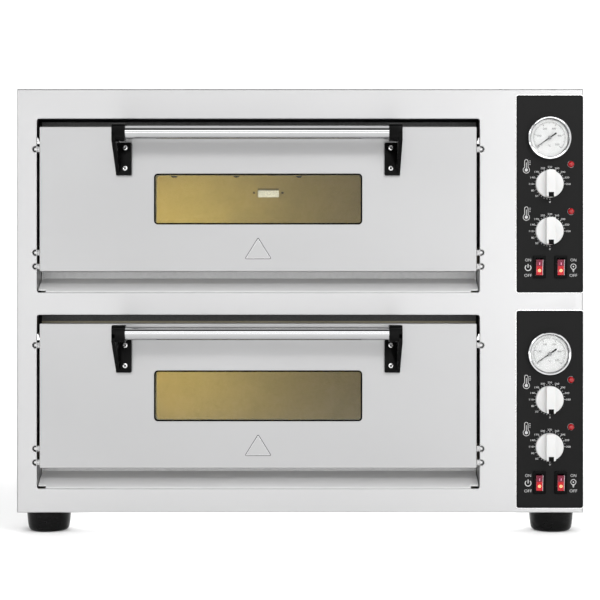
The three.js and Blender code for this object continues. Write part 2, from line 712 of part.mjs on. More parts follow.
function addHandle(door, name) {
  const bar = rod(HANDLE.barRadius, X_AXIS, -HANDLE.barHalf, HANDLE.barHalf, ROUND);
  piece(door, `${name}_handle_bar`, bar.translate([0, BAR_Y, BAR_Z]), CHROME);
  for (const [label, side] of [["left", -1], ["right", 1]]) {
    piece(door, `${name}_handle_${label}_bracket`, handleBracket(side), BLACK_PLASTIC);
  }
}

// Knuckle around the bar's end, an upright web on the outer side, and a foot screwed to the door.
function handleBracket(side) {
  const { inner, outer, half, corner } = KNUCKLE;
  const back = DOOR_FACE - GAP;
  const front = back - BRACKET.footThick;
  const top = DOOR_TOP - BRACKET.footTop;
  const bottom = DOOR_TOP - BRACKET.footBottom;
  const knuckleXs = sorted(side * inner, side * outer);
  const knuckle = alongX(roundedAbout(BAR_Y, BAR_Z, 2 * half, 2 * half, corner), ...knuckleXs);
  const webOutline = polygon([
    [BAR_Y - half, BAR_Z],
    [BAR_Y - half, BAR_Z - half],
    [front, bottom + 3],
    [front + 2, bottom],
    [back, bottom],
    [back, top],
    [BAR_Y + half, BAR_Z - 3],
    [BAR_Y + half, BAR_Z],
  ]);
  const web = alongX(webOutline, ...sorted(side * (outer - BRACKET.web), side * outer));
  const [footLeft, footRight] = sorted(side * BRACKET.footInner, side * outer);
  const foot = alongY(roundedRectangle(footLeft, bottom, footRight, top, BRACKET.footCorner), front, back);
  const socketXs = sorted(side * (inner - 1), side * (HANDLE.barHalf + GAP));
  const socket = rod(HANDLE.barRadius + GAP, X_AXIS, ...socketXs, ROUND).translate([0, BAR_Y, BAR_Z]);
  return union(knuckle, foot, web).subtract(socket);
}

// ---------------------------------------------------------------- controls

const FORWARD = Y_AXIS.clone().negate();

function addControlPanel(panel, name) {
  const outline = roundedRectangle(-PANEL.width / 2, 0, PANEL.width / 2, PANEL.height, PANEL.corner);
  const through = [PANEL_FACE - 1, 0];
  const gaugeHole = rod(GAUGE.body + BORE_CLEAR, Y_AXIS, ...through, ROUND);
  const holes = [gaugeHole.translate([CONTROL_X, 0, GAUGE.z])];
  for (const z of Object.values(KNOB_HEIGHTS)) {
    holes.push(rod(KNOB.shaft + 1, Y_AXIS, ...through).translate([CONTROL_X, 0, z]));
    holes.push(rod(PILOT.body + GAP, Y_AXIS, ...through).translate([PILOT.x, 0, z + PILOT.above]));
  }
  for (const x of Object.values(SWITCH_X)) {
    const halfWidth = SWITCH_BODY.halfWidth + GAP;
    const halfHeight = SWITCH_BODY.halfHeight + GAP;
    const heights = [SWITCH_Z - halfHeight, SWITCH_Z + halfHeight];
    holes.push(box([x - halfWidth, x + halfWidth], through, heights));
  }
  const plate = cut(alongY(outline, PANEL_FACE, -GAP), ...holes);
  piece(panel, `${name}_control_panel`, plate, BLACK_PANEL);
}

// Case with a bezel in front of the panel and the dial face sunk inside the rim.
function addGauge(panel, name) {
  const gauge = groupAt(panel, CONTROL_X, 0, GAUGE.z);
  const profile = [
    [0, GAUGE.back],
    [GAUGE.body, GAUGE.back],
    [GAUGE.body, -PANEL_FACE + GAP],
    [GAUGE.radius, -PANEL_FACE + GAP],
    [GAUGE.radius, -GAUGE.rimY - 2.5],
    [GAUGE.radius - 1.5, -GAUGE.rimY],
    [GAUGE.radius - 3, -GAUGE.rimY],
    [GAUGE.radius - 4.5, -GAUGE.faceY],
    [0, -GAUGE.faceY],
  ];
  piece(gauge, `${name}_gauge_case`, turned(profile, FORWARD, ROUND), CHROME);

  // The needle is drawn pointing up and then turned to the dial's zero, at the lower left.
  const blade = polygon([
    [-1.3, NEEDLE.tail],
    [1.3, NEEDLE.tail],
    [1.1, 0],
    [0.4, NEEDLE.tip],
    [-0.4, NEEDLE.tip],
    [-1.1, 0],
  ]);
  const hub = rod(NEEDLE.hub, FORWARD, -GAUGE.faceY + GAP, -GAUGE.faceY + 2.2);
  const needle = alongY(blade, GAUGE.faceY - 1.6, GAUGE.faceY - 0.9).add(hub);
  const mesh = piece(gauge, `${name}_gauge_needle`, needle, BLACK_PLASTIC);
  mesh.rotation.y = THREE.MathUtils.degToRad(-GAUGE.zero);
}

// Round skirt with a raised bar grip across it and a shaft that reaches into the thermostat.
function addKnob(panel, name, z) {
  const knob = groupAt(panel, CONTROL_X, 0, z);
  const { radius, skirt, front, gripHalf, shaft, shaftBack } = KNOB;
  const seat = -PANEL_FACE + 1;
  const profile = [
    [0, seat],
    [radius, seat],
    [radius, skirt - 1.5],
    [radius - 1.5, skirt],
    [0, skirt],
  ];
  const disc = turned(profile, FORWARD, ROUND);
  const gripBox = box([-gripHalf, gripHalf], [-front - 1, -skirt + 2], [-radius, radius]);
  const grip = rod(radius, FORWARD, skirt - 2, front, ROUND).intersect(gripBox);
  const stem = rod(shaft, FORWARD, shaftBack, skirt - 2);
  piece(knob, name, union(disc, grip, stem), WHITE_PLASTIC);
}

function addPilotLight(panel, name, z) {
  const { x, above, radius, body, back } = PILOT;
  const face = -PANEL_FACE + GAP;
  const profile = [
    [0, back],
    [body, back],
    [body, face],
    [radius, face],
    [radius, face + 1.6],
    [radius - 0.7, face + 3.6],
    [radius - 2.6, face + 5.4],
    [0, face + 6.2],
  ];
  piece(panel, name, turned(profile, FORWARD, 16).translate([x, 0, z + above]), RED_LENS);
}

// Two thermostat bodies on one bracket, each with a bore for its knob's shaft and two terminals.
function addThermostats(panel, name) {
  const { half, halfHeight, back, plateY, plateHalf, plateBeyond } = THERMOSTAT;
  const heights = Object.values(KNOB_HEIGHTS);
  const plateZs = [Math.min(...heights) - plateBeyond, Math.max(...heights) + plateBeyond];
  const bracket = box([-plateHalf, plateHalf], [plateY, plateY + SHEET], plateZs);
  const bodyYs = [plateY + SHEET / 2, back];
  const bodies = heights.map((z) => box([-half, half], bodyYs, [z - halfHeight, z + halfHeight]));
  const terminals = heights.flatMap((z) => terminalPair(-half / 2, half / 2, z, z, back));
  const boreEnd = plateY - KNOB.shaftBack / 2;
  const bores = heights.map((z) => rod(KNOB.shaft + 0.4, Y_AXIS, plateY - 1, boreEnd).translate([0, 0, z]));
  const unit = cut(union(bracket, ...bodies, ...terminals), ...bores);
  piece(panel, `${name}_thermostats`, unit.translate([CONTROL_X, 0, 0]), GREY_PLASTIC);
}

// Two flat tabs that stand out behind a component, at (x0, z0) and (x1, z1).
function terminalPair(x0, x1, z0, z1, back) {
  const { half, length, halfThickness } = TERMINAL;
  return [[x0, z0], [x1, z1]].map(([x, z]) =>
    box([x - half, x + half], [back - 1, back - 1 + length], [z - halfThickness, z + halfThickness]),
  );
}

function addSwitch(panel, name, x) {
  const unit = groupAt(panel, x, 0, SWITCH_Z);
  const front = PANEL_FACE - SWITCH.proud;
  const outline = roundedAbout(0, 0, 2 * SWITCH.halfWidth, 2 * SWITCH.halfHeight, 1.5);
  const surround = alongY(outline, front, PANEL_FACE - GAP);
  const { halfWidth, halfHeight, back } = SWITCH_BODY;
  const body = box([-halfWidth, halfWidth], [PANEL_FACE - 1, back], [-halfHeight, halfHeight]);
  const pocketZs = [-POCKET.halfHeight, POCKET.halfHeight];
  const pocket = box([-POCKET.halfWidth, POCKET.halfWidth], [front - 1, POCKET.back], pocketZs);
  const terminals = terminalPair(0, 0, -halfHeight / 2, halfHeight / 2, back);
  const housing = union(surround, body, ...terminals).subtract(pocket);
  piece(unit, `${name}_switch_housing`, housing, BLACK_PLASTIC);

  // At rest the lower end is pressed in.
  const profile = polygon([
    [ROCKER.front, -ROCKER.halfHeight],
    [ROCKER.back, -ROCKER.halfHeight + 1.5],
    [ROCKER.back, ROCKER.halfHeight - 1.5],
    [ROCKER.front, ROCKER.halfHeight],
    [ROCKER.middle, 0],
  ]);
  const mesh = piece(unit, `${name}_rocker`, alongX(profile, -ROCKER.halfWidth, ROCKER.halfWidth), RED_LENS);
  mesh.rotation.x = THREE.MathUtils.degToRad(ROCKER.restTilt);
}

// ---------------------------------------------------------------- assembly

function addDeck(oven, name) {
  const deck = groupAt(oven, DECK_X, 0, DECK_BOTTOMS[name]);
  addLiner(deck, name);
  addSill(deck, name);
  addStone(deck, name);
  addTopElement(deck, name);
  addBottomElement(deck, name);
  addLamp(deck, name);

  const door = groupAt(deck, 0, PIVOT.depth, DOOR.above + PIVOT.aboveDoor);
  addDoorShell(door, name);
  addDoorInnerPanel(door, name);
  addDoorGlass(door, name);
  addHandle(door, name);
}

function addControls(oven, name) {
  const panel = groupAt(oven, PANEL_X, 0, PANEL_BOTTOMS[name]);
  addControlPanel(panel, name);
  addGauge(panel, name);
  for (const [heat, z] of Object.entries(KNOB_HEIGHTS)) {
    addKnob(panel, `${name}_${heat}_knob`, z);
    addPilotLight(panel, `${name}_${heat}_pilot_light`, z);
  }
  addThermostats(panel, name);
  for (const [use, x] of Object.entries(SWITCH_X)) {
    addSwitch(panel, `${name}_${use}`, x);
  }
}

const pizzaOven = new THREE.Group();
const oven = groupAt(pizzaOven, 0, FRONT_Y, 0);
addFrontFascia(oven);
addBaseChassis(oven);
addTopCover(oven);
addSidePanels(oven);
addRearPanel(oven);
addCableGland(oven);
addFeet(oven);
addInsulation(oven);
for (const name of Object.keys(DECK_BOTTOMS)) {
  addDeck(oven, name);
  addControls(oven, name);
}

export default pizzaOven;
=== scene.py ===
import math

import bmesh
import bpy
from mathutils import Matrix, Vector


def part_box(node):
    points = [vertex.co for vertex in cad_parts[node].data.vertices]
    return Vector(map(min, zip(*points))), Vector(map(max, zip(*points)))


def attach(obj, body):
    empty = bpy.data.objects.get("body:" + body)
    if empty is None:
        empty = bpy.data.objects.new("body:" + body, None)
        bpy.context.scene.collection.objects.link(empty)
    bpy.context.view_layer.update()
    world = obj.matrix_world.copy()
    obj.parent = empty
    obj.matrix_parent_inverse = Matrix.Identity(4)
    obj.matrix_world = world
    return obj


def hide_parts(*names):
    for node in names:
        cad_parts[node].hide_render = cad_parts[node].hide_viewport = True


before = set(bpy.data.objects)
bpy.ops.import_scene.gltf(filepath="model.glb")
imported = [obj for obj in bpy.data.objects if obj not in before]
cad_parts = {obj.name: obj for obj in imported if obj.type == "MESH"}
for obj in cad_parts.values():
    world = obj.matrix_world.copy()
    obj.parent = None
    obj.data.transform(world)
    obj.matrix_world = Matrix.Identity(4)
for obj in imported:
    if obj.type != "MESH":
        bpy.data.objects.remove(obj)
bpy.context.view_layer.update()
front_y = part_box("front_fascia")[0].y

# A countertop double-deck pizza oven. All lengths are metres in the frame: X to the right, the doors
# face -Y, Z up. A size is measured from the CAD piece that its detail belongs to, a louvre's place
# from the floor, the front and the middle.

DECKS = ("lower", "upper")
KNOBS = ("top_heat", "bottom_heat")
SWITCHES = ("power", "light")
SIDES = {"left": -1, "right": 1}
MM = 0.001
CORNER_STEPS = 6

# ---------------- sizes

# The camera: its distance from the front, its height above the floor and its lens.
CAMERA_DISTANCE = 2.35
CAMERA_HEIGHT = 0.3907
CAMERA_LENS = 84.1
SENSOR_WIDTH = 36.0

# The chamber lamps; the light's place is measured from the lamp's left and front sides.
LAMP_GLOW = Vector((172 * MM, -125 * MM, 0))
LAMP_POWER = {"lower": 1.5, "upper": 1.8}
LAMP_COLOUR = (1.0, 0.9, 0.36)
LAMP_FLANGE = 26 * MM

# Radii of the folded sheets' edges.
OUTER_ROLL = 2.2 * MM
OPENING_ROLL = 1.6 * MM
DOOR_ROLL = 1.5 * MM
WINDOW_ROLL = 0.6 * MM

# The door openings; heights are from their lower edge.
OPENING_HALF = 371 * MM
OPENING_REACH = OPENING_HALF - 0.2 * MM
OPENING_HEIGHT = 291 * MM
STONE_TOP = 50 * MM
JAMB_DEPTH = 42 * MM
NUT_HEIGHTS = (43.4 * MM, 66.6 * MM, 240.2 * MM)
NUT_DEPTH = 6 * MM
GUARD_HALF = 369 * MM
ELEMENT_PITCH = 136 * MM

# The vent through the back wall.
VENT_ABOVE_STONE = 173.5 * MM
VENT_FRAME = (55 * MM, 28 * MM)
VENT_MOUTH = (47 * MM, 20 * MM)
VENT_SCREW_REACH = 31.4 * MM
VENT_COLLAR = (66 * MM, 39 * MM)
VENT_OUTLET = (50.4 * MM, 23.4 * MM)
SCREEN_HALF = (25 * MM, 11.6 * MM)
SCREEN_WIRE = 0.35 * MM
SCREEN_PITCH = 2.4 * MM

# The doors.
GLASS_OVERLAP = 9 * MM
TRIANGLE_BELOW_WINDOW = 21 * MM
TRIANGLE_WIDTH = 46 * MM
TRIANGLE_HEIGHT = 37 * MM
TRIANGLE_CORNER = 1.9 * MM

# The handle brackets; foot and screws are measured down from the bar.
KNUCKLE_LENGTH = 21.6 * MM
BRACKET_WEB = 6.5 * MM
BRACKET_FOOT_THICKNESS = 7 * MM
BRACKET_FOOT_TOP = 11.7 * MM
BRACKET_SCREW_INSET = 15.5 * MM
BRACKET_SCREWS = (20.7 * MM, 54.5 * MM)

# The gauge; angles are degrees clockwise from the top.
GAUGE_BEZEL = 4.5 * MM
GAUGE_RECESS = 6.5 * MM
GAUGE_DEPTH = 20 * MM
GAUGE_ZERO = 230.0
GAUGE_STEP = 52.0
GAUGE_LABELS = (0, 100, 200, 300, 400, 500)
NEEDLE_REST = 5.0

# The knobs and pilot lights.
KNOB_LABELS = (50, 80, 110, 140, 170, 200, 230, 260, 290, 320, 350)
KNOB_TOP_LABEL = 230
KNOB_DEGREES_PER_UNIT = 0.75
KNOB_GRIP_RISE = 12 * MM
KNOB_GRIP_HALF = 7.75 * MM
KNOB_POINTER = (8.7 * MM, 8 * MM)
PILOT_RING_HEIGHT = 1.2 * MM

# The switches; the rocker's sizes are measured from its pivot.
SWITCH_FRAME = (21 * MM, 38 * MM)
SWITCH_MOUTH = (12.6 * MM, 28.8 * MM)
SWITCH_BODY = (18 * MM, 33 * MM)
SWITCH_DEPTH = 22 * MM
TERMINAL_REACH = 8.3 * MM
ROCKER_TILT = 8.0
ROCKER_MARKS = -5.6 * MM
ROCKER_HALF = 5.1 * MM
# Width of the thin strips at the rocker's sides that carry a painted highlight and painted shade.
ROCKER_LIGHT_STRIP = 0.55 * MM

# The print on the panels.
PRINT_THICKNESS = 0.12 * MM
PRINT_SHIFT = 1.2 * MM
DIGIT_WIDTH = 2.45 * MM
LABEL_HEIGHT = 3 * MM
LETTER_WEIGHT = -0.012

# The cooling louvres.
LOUVRES_IN_GROUP = 7
LOUVRE_PITCH = 16 * MM
SIDE_LOUVRES = (120 * MM, 520 * MM)
SIDE_LOUVRE_HALF = 37.5 * MM
SIDE_LOUVRE_DEPTHS = (150 * MM, 640 * MM)
REAR_LOUVRES = (200 * MM, 520 * MM)
REAR_LOUVRE_X = 410 * MM
REAR_LOUVRE_HALF = 38 * MM

# ---------------- meshes


def in_mm(*points):
    """Points given in millimetres, as the frame's metres."""
    return [(a * MM, b * MM) for a, b in points]


def shifted(points, a, b):
    """Points moved by a along their first axis and b along their second."""
    return [(point[0] + a, point[1] + b) for point in points]


def new_mesh(name, bm):
    """Turns a bmesh into a mesh with its faces pointing out."""
    bmesh.ops.recalc_face_normals(bm, faces=bm.faces)
    mesh = bpy.data.meshes.new(name)
    bm.to_mesh(mesh)
    bm.free()
    return mesh


def new_object(name, data):
    """An object in the scene that shows a mesh, a light, a lettering or a camera."""
    obj = bpy.data.objects.new(name, data)
    bpy.context.scene.collection.objects.link(obj)
    return obj


def piece(name, bm, material, body, replaces=(), angle=30.0):
    """Makes an object of a bmesh, smooth except at edges sharper than angle, riding on a body."""
    mesh = new_mesh(name, bm)
    mesh.materials.append(material)
    mesh.polygons.foreach_set("use_smooth", [True] * len(mesh.polygons))
    mesh.set_sharp_from_angle(angle=math.radians(angle))
    obj = new_object(name, mesh)
    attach(obj, body)
    if replaces:
        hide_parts(*replaces)
    return obj


def axis_frame(axis, centre):
    """A matrix that takes local Z to an axis and the origin to a centre."""
    turn = Vector((0, 0, 1)).rotation_difference(Vector(axis)).to_matrix().to_4x4()
    return Matrix.Translation(centre) @ turn


def add_lathe(bm, profile, axis, centre, segments):
    """Adds a turned surface; the profile is [(radius, place along the axis), ...]."""
    place = axis_frame(axis, centre)
    rings = []
    for radius, along in profile:
        count = 1 if radius == 0 else segments
        turns = [2 * math.pi * step / segments for step in range(count)]
        spots = [Vector((radius * math.cos(turn), radius * math.sin(turn), along)) for turn in turns]
        rings.append([bm.verts.new(place @ spot) for spot in spots])
    for low, high in zip(rings, rings[1:]):
        for step in range(segments):
            following = (step + 1) % segments
            corners = [low[step % len(low)], low[following % len(low)]]
            corners += [high[following % len(high)], high[step % len(high)]]
            unique = list(dict.fromkeys(corners))
            if len(unique) > 2:
                bm.faces.new(unique)
    return bm


def lathe(profile, axis, centre, segments):
    return add_lathe(bmesh.new(), profile, axis, centre, segments)


def disc(radius, front, back):
    """The profile of a plain disc, as [(radius, y), ...]."""
    return [(0, back), (radius, back), (radius, front), (0, front)]


def add_turned(bm, profile, x, z, segments):
    """Adds a surface turned about a line from front to back; the profile is [(radius, y), ...]."""
    return add_lathe(bm, [(radius, -y) for radius, y in profile], (0, -1, 0), Vector((x, 0, z)), segments)


def rounded_rectangle(x, z, width, height, radius):
    """Points of a rounded rectangle about (x, z), anticlockwise."""
    points = []
    corners = [(1, 1), (-1, 1), (-1, -1), (1, -1)]
    for quarter, (side, up) in enumerate(corners):
        middle_x = x + side * (width / 2 - radius)
        middle_z = z + up * (height / 2 - radius)
        for step in range(CORNER_STEPS + 1):
            turn = math.radians(90 * (quarter + step / CORNER_STEPS))
            points.append((middle_x + radius * math.cos(turn), middle_z + radius * math.sin(turn)))
    return points


def rounded_polygon(corners, radius):
    """Points of an anticlockwise outline with its corners rounded."""
    points = []
    for index, corner in enumerate(corners):
        here = Vector(corner)
        before = (Vector(corners[index - 1]) - here).normalized()
        after = (Vector(corners[(index + 1) % len(corners)]) - here).normalized()
        half_angle = before.angle(after) / 2
        centre = here + (before + after).normalized() * radius / math.sin(half_angle)
        facing = math.atan2(here.y - centre.y, here.x - centre.x)
        sweep = math.pi / 2 - half_angle
        for step in range(CORNER_STEPS + 1):
            turn = facing + sweep * (2 * step / CORNER_STEPS - 1)
            points.append((centre.x + radius * math.cos(turn), centre.y + radius * math.sin(turn)))
    return points


def circle(x, z, radius, steps):
    turns = [2 * math.pi * step / steps for step in range(steps)]
    return [(x + radius * math.cos(turn), z + radius * math.sin(turn)) for turn in turns]


def add_prism(bm, points, low, high, axis="Y"):
    """Adds an outline drawn in X and Z between two depths, or in Y and Z between two places in X."""
    def spot(a, b, along):
        return Vector((a, along, b)) if axis == "Y" else Vector((along, a, b))

    front = [bm.verts.new(spot(a, b, low)) for a, b in points]
    back = [bm.verts.new(spot(a, b, high)) for a, b in points]
    bm.faces.new(front)
    bm.faces.new(reversed(back))
    for index in range(len(points)):
        following = (index + 1) % len(points)
        bm.faces.new((front[index], back[index], back[following], front[following]))


def add_frame(bm, outer, inner, low, high):
    """Adds a flat ring between two outlines with the same number of points, between two depths."""
    rings = []
    for outline, depth in ((outer, low), (inner, low), (inner, high), (outer, high)):
        rings.append([bm.verts.new(Vector((x, depth, z))) for x, z in outline])
    for ring, following_ring in zip(rings, rings[1:] + rings[:1]):
        for index in range(len(ring)):
            following = (index + 1) % len(ring)
            bm.faces.new((ring[index], ring[following], following_ring[following], following_ring[index]))


def add_box(bm, low, high):
    points = [(low[0], low[2]), (high[0], low[2]), (high[0], high[2]), (low[0], high[2])]
    add_prism(bm, points, low[1], high[1])


def ring_piece(name, outer, inner, low, high, material, body, slot):
    """A flat ring between two outlines and two depths."""
    bm = bmesh.new()
    add_frame(bm, outer, inner, low, high)
    piece(name, bm, material, body)


def box_piece(name, low, high, material):
    """A straight strip on the casing."""
    bm = bmesh.new()
    add_box(bm, low, high)
    piece(name, bm, material, "casing")


def round_edges(bm, width, segments, angle=35.0):
    """Bevels every edge sharper than an angle."""
    bmesh.ops.recalc_face_normals(bm, faces=bm.faces)
    limit = math.radians(angle)
    edges = [edge for edge in bm.edges if len(edge.link_faces) == 2 and edge.calc_face_angle(0) > limit]
    bmesh.ops.bevel(
        bm, geom=edges, offset=width, segments=segments, profile=0.5, affect="EDGES", clamp_overlap=True
    )


def arc_points(x, z, radius, start, end, steps):
    """Points on an arc; angles are degrees clockwise from the top."""
    points = []
    for step in range(steps + 1):
        turn = math.radians(start + (end - start) * step / steps)
        points.append((x + radius * math.sin(turn), z + radius * math.cos(turn)))
    return points


def polar(x, z, radius, degrees):
    """A point at a clock angle, clockwise from the top."""
    return arc_points(x, z, radius, degrees, degrees, 1)[0]


class Print:
    """Collects thin printed shapes that face the front, and makes one mesh of them."""

    def __init__(self, y):
        self.low = y - PRINT_THICKNESS
        self.high = y
        self.bm = bmesh.new()

    def shape(self, points):
        add_prism(self.bm, points, self.low, self.high)

    def ring(self, x, z, radius, width, steps=32):
        outer = circle(x, z, radius + width / 2, steps)
        add_frame(self.bm, outer, circle(x, z, radius - width / 2, steps), self.low, self.high)

    def stroke(self, points, width):
        """A line of even width through the points, as one outline."""
        left, right = [], []
        for index, (x, z) in enumerate(points):
            ahead = points[min(index + 1, len(points) - 1)]
            behind = points[max(index - 1, 0)]
            along = Vector((ahead[0] - behind[0], ahead[1] - behind[1])).normalized()
            across = Vector((-along.y, along.x)) * width / 2
            left.append((x + across.x, z + across.y))
            right.append((x - across.x, z - across.y))
        self.shape(left + right[::-1])

    def tick(self, x, z, inner, outer, degrees, width):
        self.stroke([polar(x, z, inner, degrees), polar(x, z, outer, degrees)], width)

    def text(self, words, x, z, width, height, weight=0.0):
        """Plain lettering stretched to a width and a height, its middle at (x, z)."""
        curve = bpy.data.curves.new("lettering", "FONT")
        curve.body = words
        curve.offset = weight
        curve.resolution_u = 3
        letters = new_object("lettering", curve)
        bpy.context.view_layer.update()
        flat = bpy.data.meshes.new_from_object(letters.evaluated_get(bpy.context.evaluated_depsgraph_get()))
        bpy.data.objects.remove(letters)
        spots = [vertex.co.copy() for vertex in flat.vertices]
        low = Vector((min(spot.x for spot in spots), min(spot.y for spot in spots)))
        high = Vector((max(spot.x for spot in spots), max(spot.y for spot in spots)))
        scale_x, scale_z = width / (high.x - low.x), height / (high.y - low.y)
        middle = (low + high) / 2
        letter_bm = bmesh.new()
        letter_bm.from_mesh(flat)
        bpy.data.meshes.remove(flat)
        for vertex in letter_bm.verts:
            across = x + (vertex.co.x - middle.x) * scale_x
            up = z + (vertex.co.y - middle.y) * scale_z
            vertex.co = Vector((across, self.low, up))
        bmesh.ops.remove_doubles(letter_bm, verts=letter_bm.verts, dist=1e-7)
        self.thicken(letter_bm)

    def thicken(self, flat_bm):
        """Gives a flat bmesh its thickness and adds it to the print."""
        made = bmesh.ops.extrude_face_region(flat_bm, geom=list(flat_bm.faces), use_keep_orig=True)
        for item in made["geom"]:
            if isinstance(item, bmesh.types.BMVert):
                item.co.y = self.high
        joined = bpy.data.meshes.new("print_part")
        flat_bm.to_mesh(joined)
        flat_bm.free()
        self.bm.from_mesh(joined)
        bpy.data.meshes.remove(joined)


# ---------------- materials

# Nearly all of a noise lies between these two values.
NOISE_LOW = 0.3
NOISE_HIGH = 0.7
NOISE_SPAN = NOISE_HIGH - NOISE_LOW


def grey(value):
    return (value, value, value)


def shaded(colour, share):
    return tuple(share * channel for channel in colour)


class Finish:
    """A material whose colour, roughness and bump vary over the surface, in the frame's coordinates."""

    def __init__(self, name, metallic=0.0, roughness=0.5, **sockets):
        self.material = bpy.data.materials.new(name)
        self.material.use_nodes = True
        self.nodes = self.material.node_tree.nodes
        self.links = self.material.node_tree.links
        self.shader = self.nodes["Principled BSDF"]
        self.place = self.nodes.new("ShaderNodeTexCoord").outputs["Object"]
        self.shader.inputs["Metallic"].default_value = metallic
        self.shader.inputs["Roughness"].default_value = roughness
        for socket, value in sockets.items():
            self.shader.inputs[socket.replace("_", " ")].default_value = value

    def node(self, kind, links, values, **settings):
        """Adds a node with its settings, its linked inputs and its plain inputs."""
        node = self.nodes.new(f"ShaderNode{kind}")
        for setting, value in settings.items():
            setattr(node, setting, value)
        for socket, source in links.items():
            self.links.new(source, node.inputs[socket])
        for socket, value in values.items():
            node.inputs[socket].default_value = value
        return node

    def noise(self, cells, detail=3.0, roughness=0.55, distortion=0.0):
        """A noise of that many cells per metre, the same each way or for X, Y and Z."""
        scale = grey(cells) if isinstance(cells, int) else cells
        mapping = self.node("Mapping", {"Vector": self.place}, {"Scale": scale})
        values = {"Scale": 1.0, "Detail": detail, "Roughness": roughness, "Distortion": distortion}
        return self.node("TexNoise", {"Vector": mapping.outputs["Vector"]}, values).outputs["Fac"]

    def mix(self, share, first, second):
        """Weighs two factors; share is the second one's weight, from 0 to 1."""
        lesser = self.node("Math", {0: first}, {1: 1 - share}, operation="MULTIPLY")
        links = {0: second, 2: lesser.outputs[0]}
        return self.node("Math", links, {1: share}, operation="MULTIPLY_ADD").outputs[0]

    def colour(self, factor, *stops):
        """Colours the surface along a ramp of evenly spaced colours."""
        ramp = self.nodes.new("ShaderNodeValToRGB")
        self.links.new(factor, ramp.inputs["Fac"])
        elements = ramp.color_ramp.elements
        while len(elements) < len(stops):
            elements.new(0.5)
        for index, stop in enumerate(stops):
            elements[index].position = NOISE_LOW + NOISE_SPAN * index / (len(stops) - 1)
            elements[index].color = (*stop, 1.0)
        self.links.new(ramp.outputs["Color"], self.shader.inputs["Base Color"])

    def vary_roughness(self, factor, low, high):
        limits = {"From Min": NOISE_LOW, "From Max": NOISE_HIGH, "To Min": low, "To Max": high}
        spread = self.node("MapRange", {"Value": factor}, limits)
        self.links.new(spread.outputs["Result"], self.shader.inputs["Roughness"])

    def bump(self, height, distance, strength):
        relief = self.node("Bump", {"Height": height}, {"Distance": distance, "Strength": strength})
        self.links.new(relief.outputs["Normal"], self.shader.inputs["Normal"])


def patterned(name, cells, colours, gloss=None, relief=None, detail=3.0, coarse=0.55, fine=None, **sockets):
    """A finish whose colour and roughness follow one noise; the relief follows it too, or a fine one."""
    finish = Finish(name, **sockets)
    pattern = finish.noise(cells, detail, coarse)
    finish.colour(pattern, *colours)
    if gloss:
        finish.vary_roughness(pattern, *gloss)
    if relief:
        finish.bump(finish.noise(*fine) if fine else pattern, *relief)
    return finish.material


def sheet_steel(name, colour, grain, roughness=(0.26, 0.36), contrast=0.06, spread=0.0):
    """Rolled stainless sheet with its polishing lines along one axis, spreading highlights across them."""
    finish = Finish(name, metallic=1.0, Anisotropic=spread, Anisotropic_Rotation=0.25)
    lines = finish.noise([9.0 if axis == grain else 900.0 for axis in "XYZ"], detail=4.0, roughness=0.7)
    clouds = finish.noise((2.6, 2.6, 3.4), detail=2.0)
    factor = finish.mix(0.55, lines, clouds)
    finish.colour(factor, shaded(colour, 1 - contrast), colour, shaded(colour, 1 + contrast))
    finish.vary_roughness(factor, *roughness)
    finish.bump(lines, 0.02 * MM, 0.35)
    return finish.material


def sill_steel():
    """Satin sheet in the shade of the door, scattering most of its light."""
    finish = Finish("sill_steel", metallic=0.2)
    lines = finish.noise((9, 900, 900), detail=4.0, roughness=0.7)
    clouds = finish.noise((5, 20, 20), detail=3.0)
    factor = finish.mix(0.5, lines, clouds)
    finish.colour(factor, grey(0.71), grey(0.77))
    finish.vary_roughness(factor, 0.42, 0.55)
    finish.bump(lines, 0.02 * MM, 0.35)
    return finish.material


def liner_steel(name="liner_steel", colour=(0.5, 0.45, 0.33), light=(0.56, 0.51, 0.41)):
    """Aluminised sheet, dulled and, in the chambers, faintly browned by heat."""
    finish = Finish(name, metallic=0.35)
    stains = finish.noise((7, 7, 9), detail=5.0, roughness=0.65, distortion=0.6)
    spangle = finish.noise(160, detail=2.0)
    factor = finish.mix(0.3, stains, spangle)
    finish.colour(factor, shaded(colour, 0.82), colour, light)
    finish.vary_roughness(factor, 0.42, 0.6)
    finish.bump(spangle, 0.05 * MM, 0.5)
    return finish.material


def chrome(name="chrome", colour=(0.86, 0.865, 0.875)):
    """Bright plating, with the faint waviness that polishing leaves."""
    tones = (shaded(colour, 0.95), colour)
    return patterned(name, (14, 60, 60), tones, (0.035, 0.07), (0.03 * MM, 0.4), metallic=1.0)


def screw_steel(name="screw_steel", low=0.62, high=0.8):
    return patterned(name, 600, (grey(low), grey(high)), (0.18, 0.34), (0.03 * MM, 0.5), metallic=1.0)


def black_panel(name="black_panel", tone=0.0055):
    """Satin black overlay on the control plate, with a fine orange-peel."""
    tones = (grey(tone * 0.88), grey(tone * 1.12))
    relief = (0.03 * MM, 0.35)
    return patterned(name, 11, tones, (0.34, 0.46), relief, 4.0, fine=(1400, 2.0), Specular_IOR_Level=0.1)


def black_plastic(name="black_plastic", tone=0.0018, gloss=(0.2, 0.32), level=0.055):
    """Moulded black plastic with a fine spark-eroded texture."""
    tones = (grey(tone * 0.75), grey(tone * 1.3))
    relief = (0.04 * MM, 0.4)
    return patterned(name, (30, 30, 12), tones, gloss, relief, 2.0, fine=(1800,), Specular_IOR_Level=level)


def foot_rubber():
    tones = (grey(0.0015), grey(0.004))
    relief = (0.05 * MM, 0.4)
    light = {"Specular_IOR_Level": 0.09}
    return patterned("foot_rubber", (25, 25, 60), tones, (0.2, 0.3), relief, 4.0, fine=(900,), **light)


def seal_fibre():
    """Woven glass-fibre strip, grey from use."""
    light = {"roughness": 0.85, "Specular_IOR_Level": 0.15}
    return patterned("seal_fibre", (300, 900, 900), (grey(0.13), grey(0.2)), relief=(0.2 * MM, 0.6), **light)


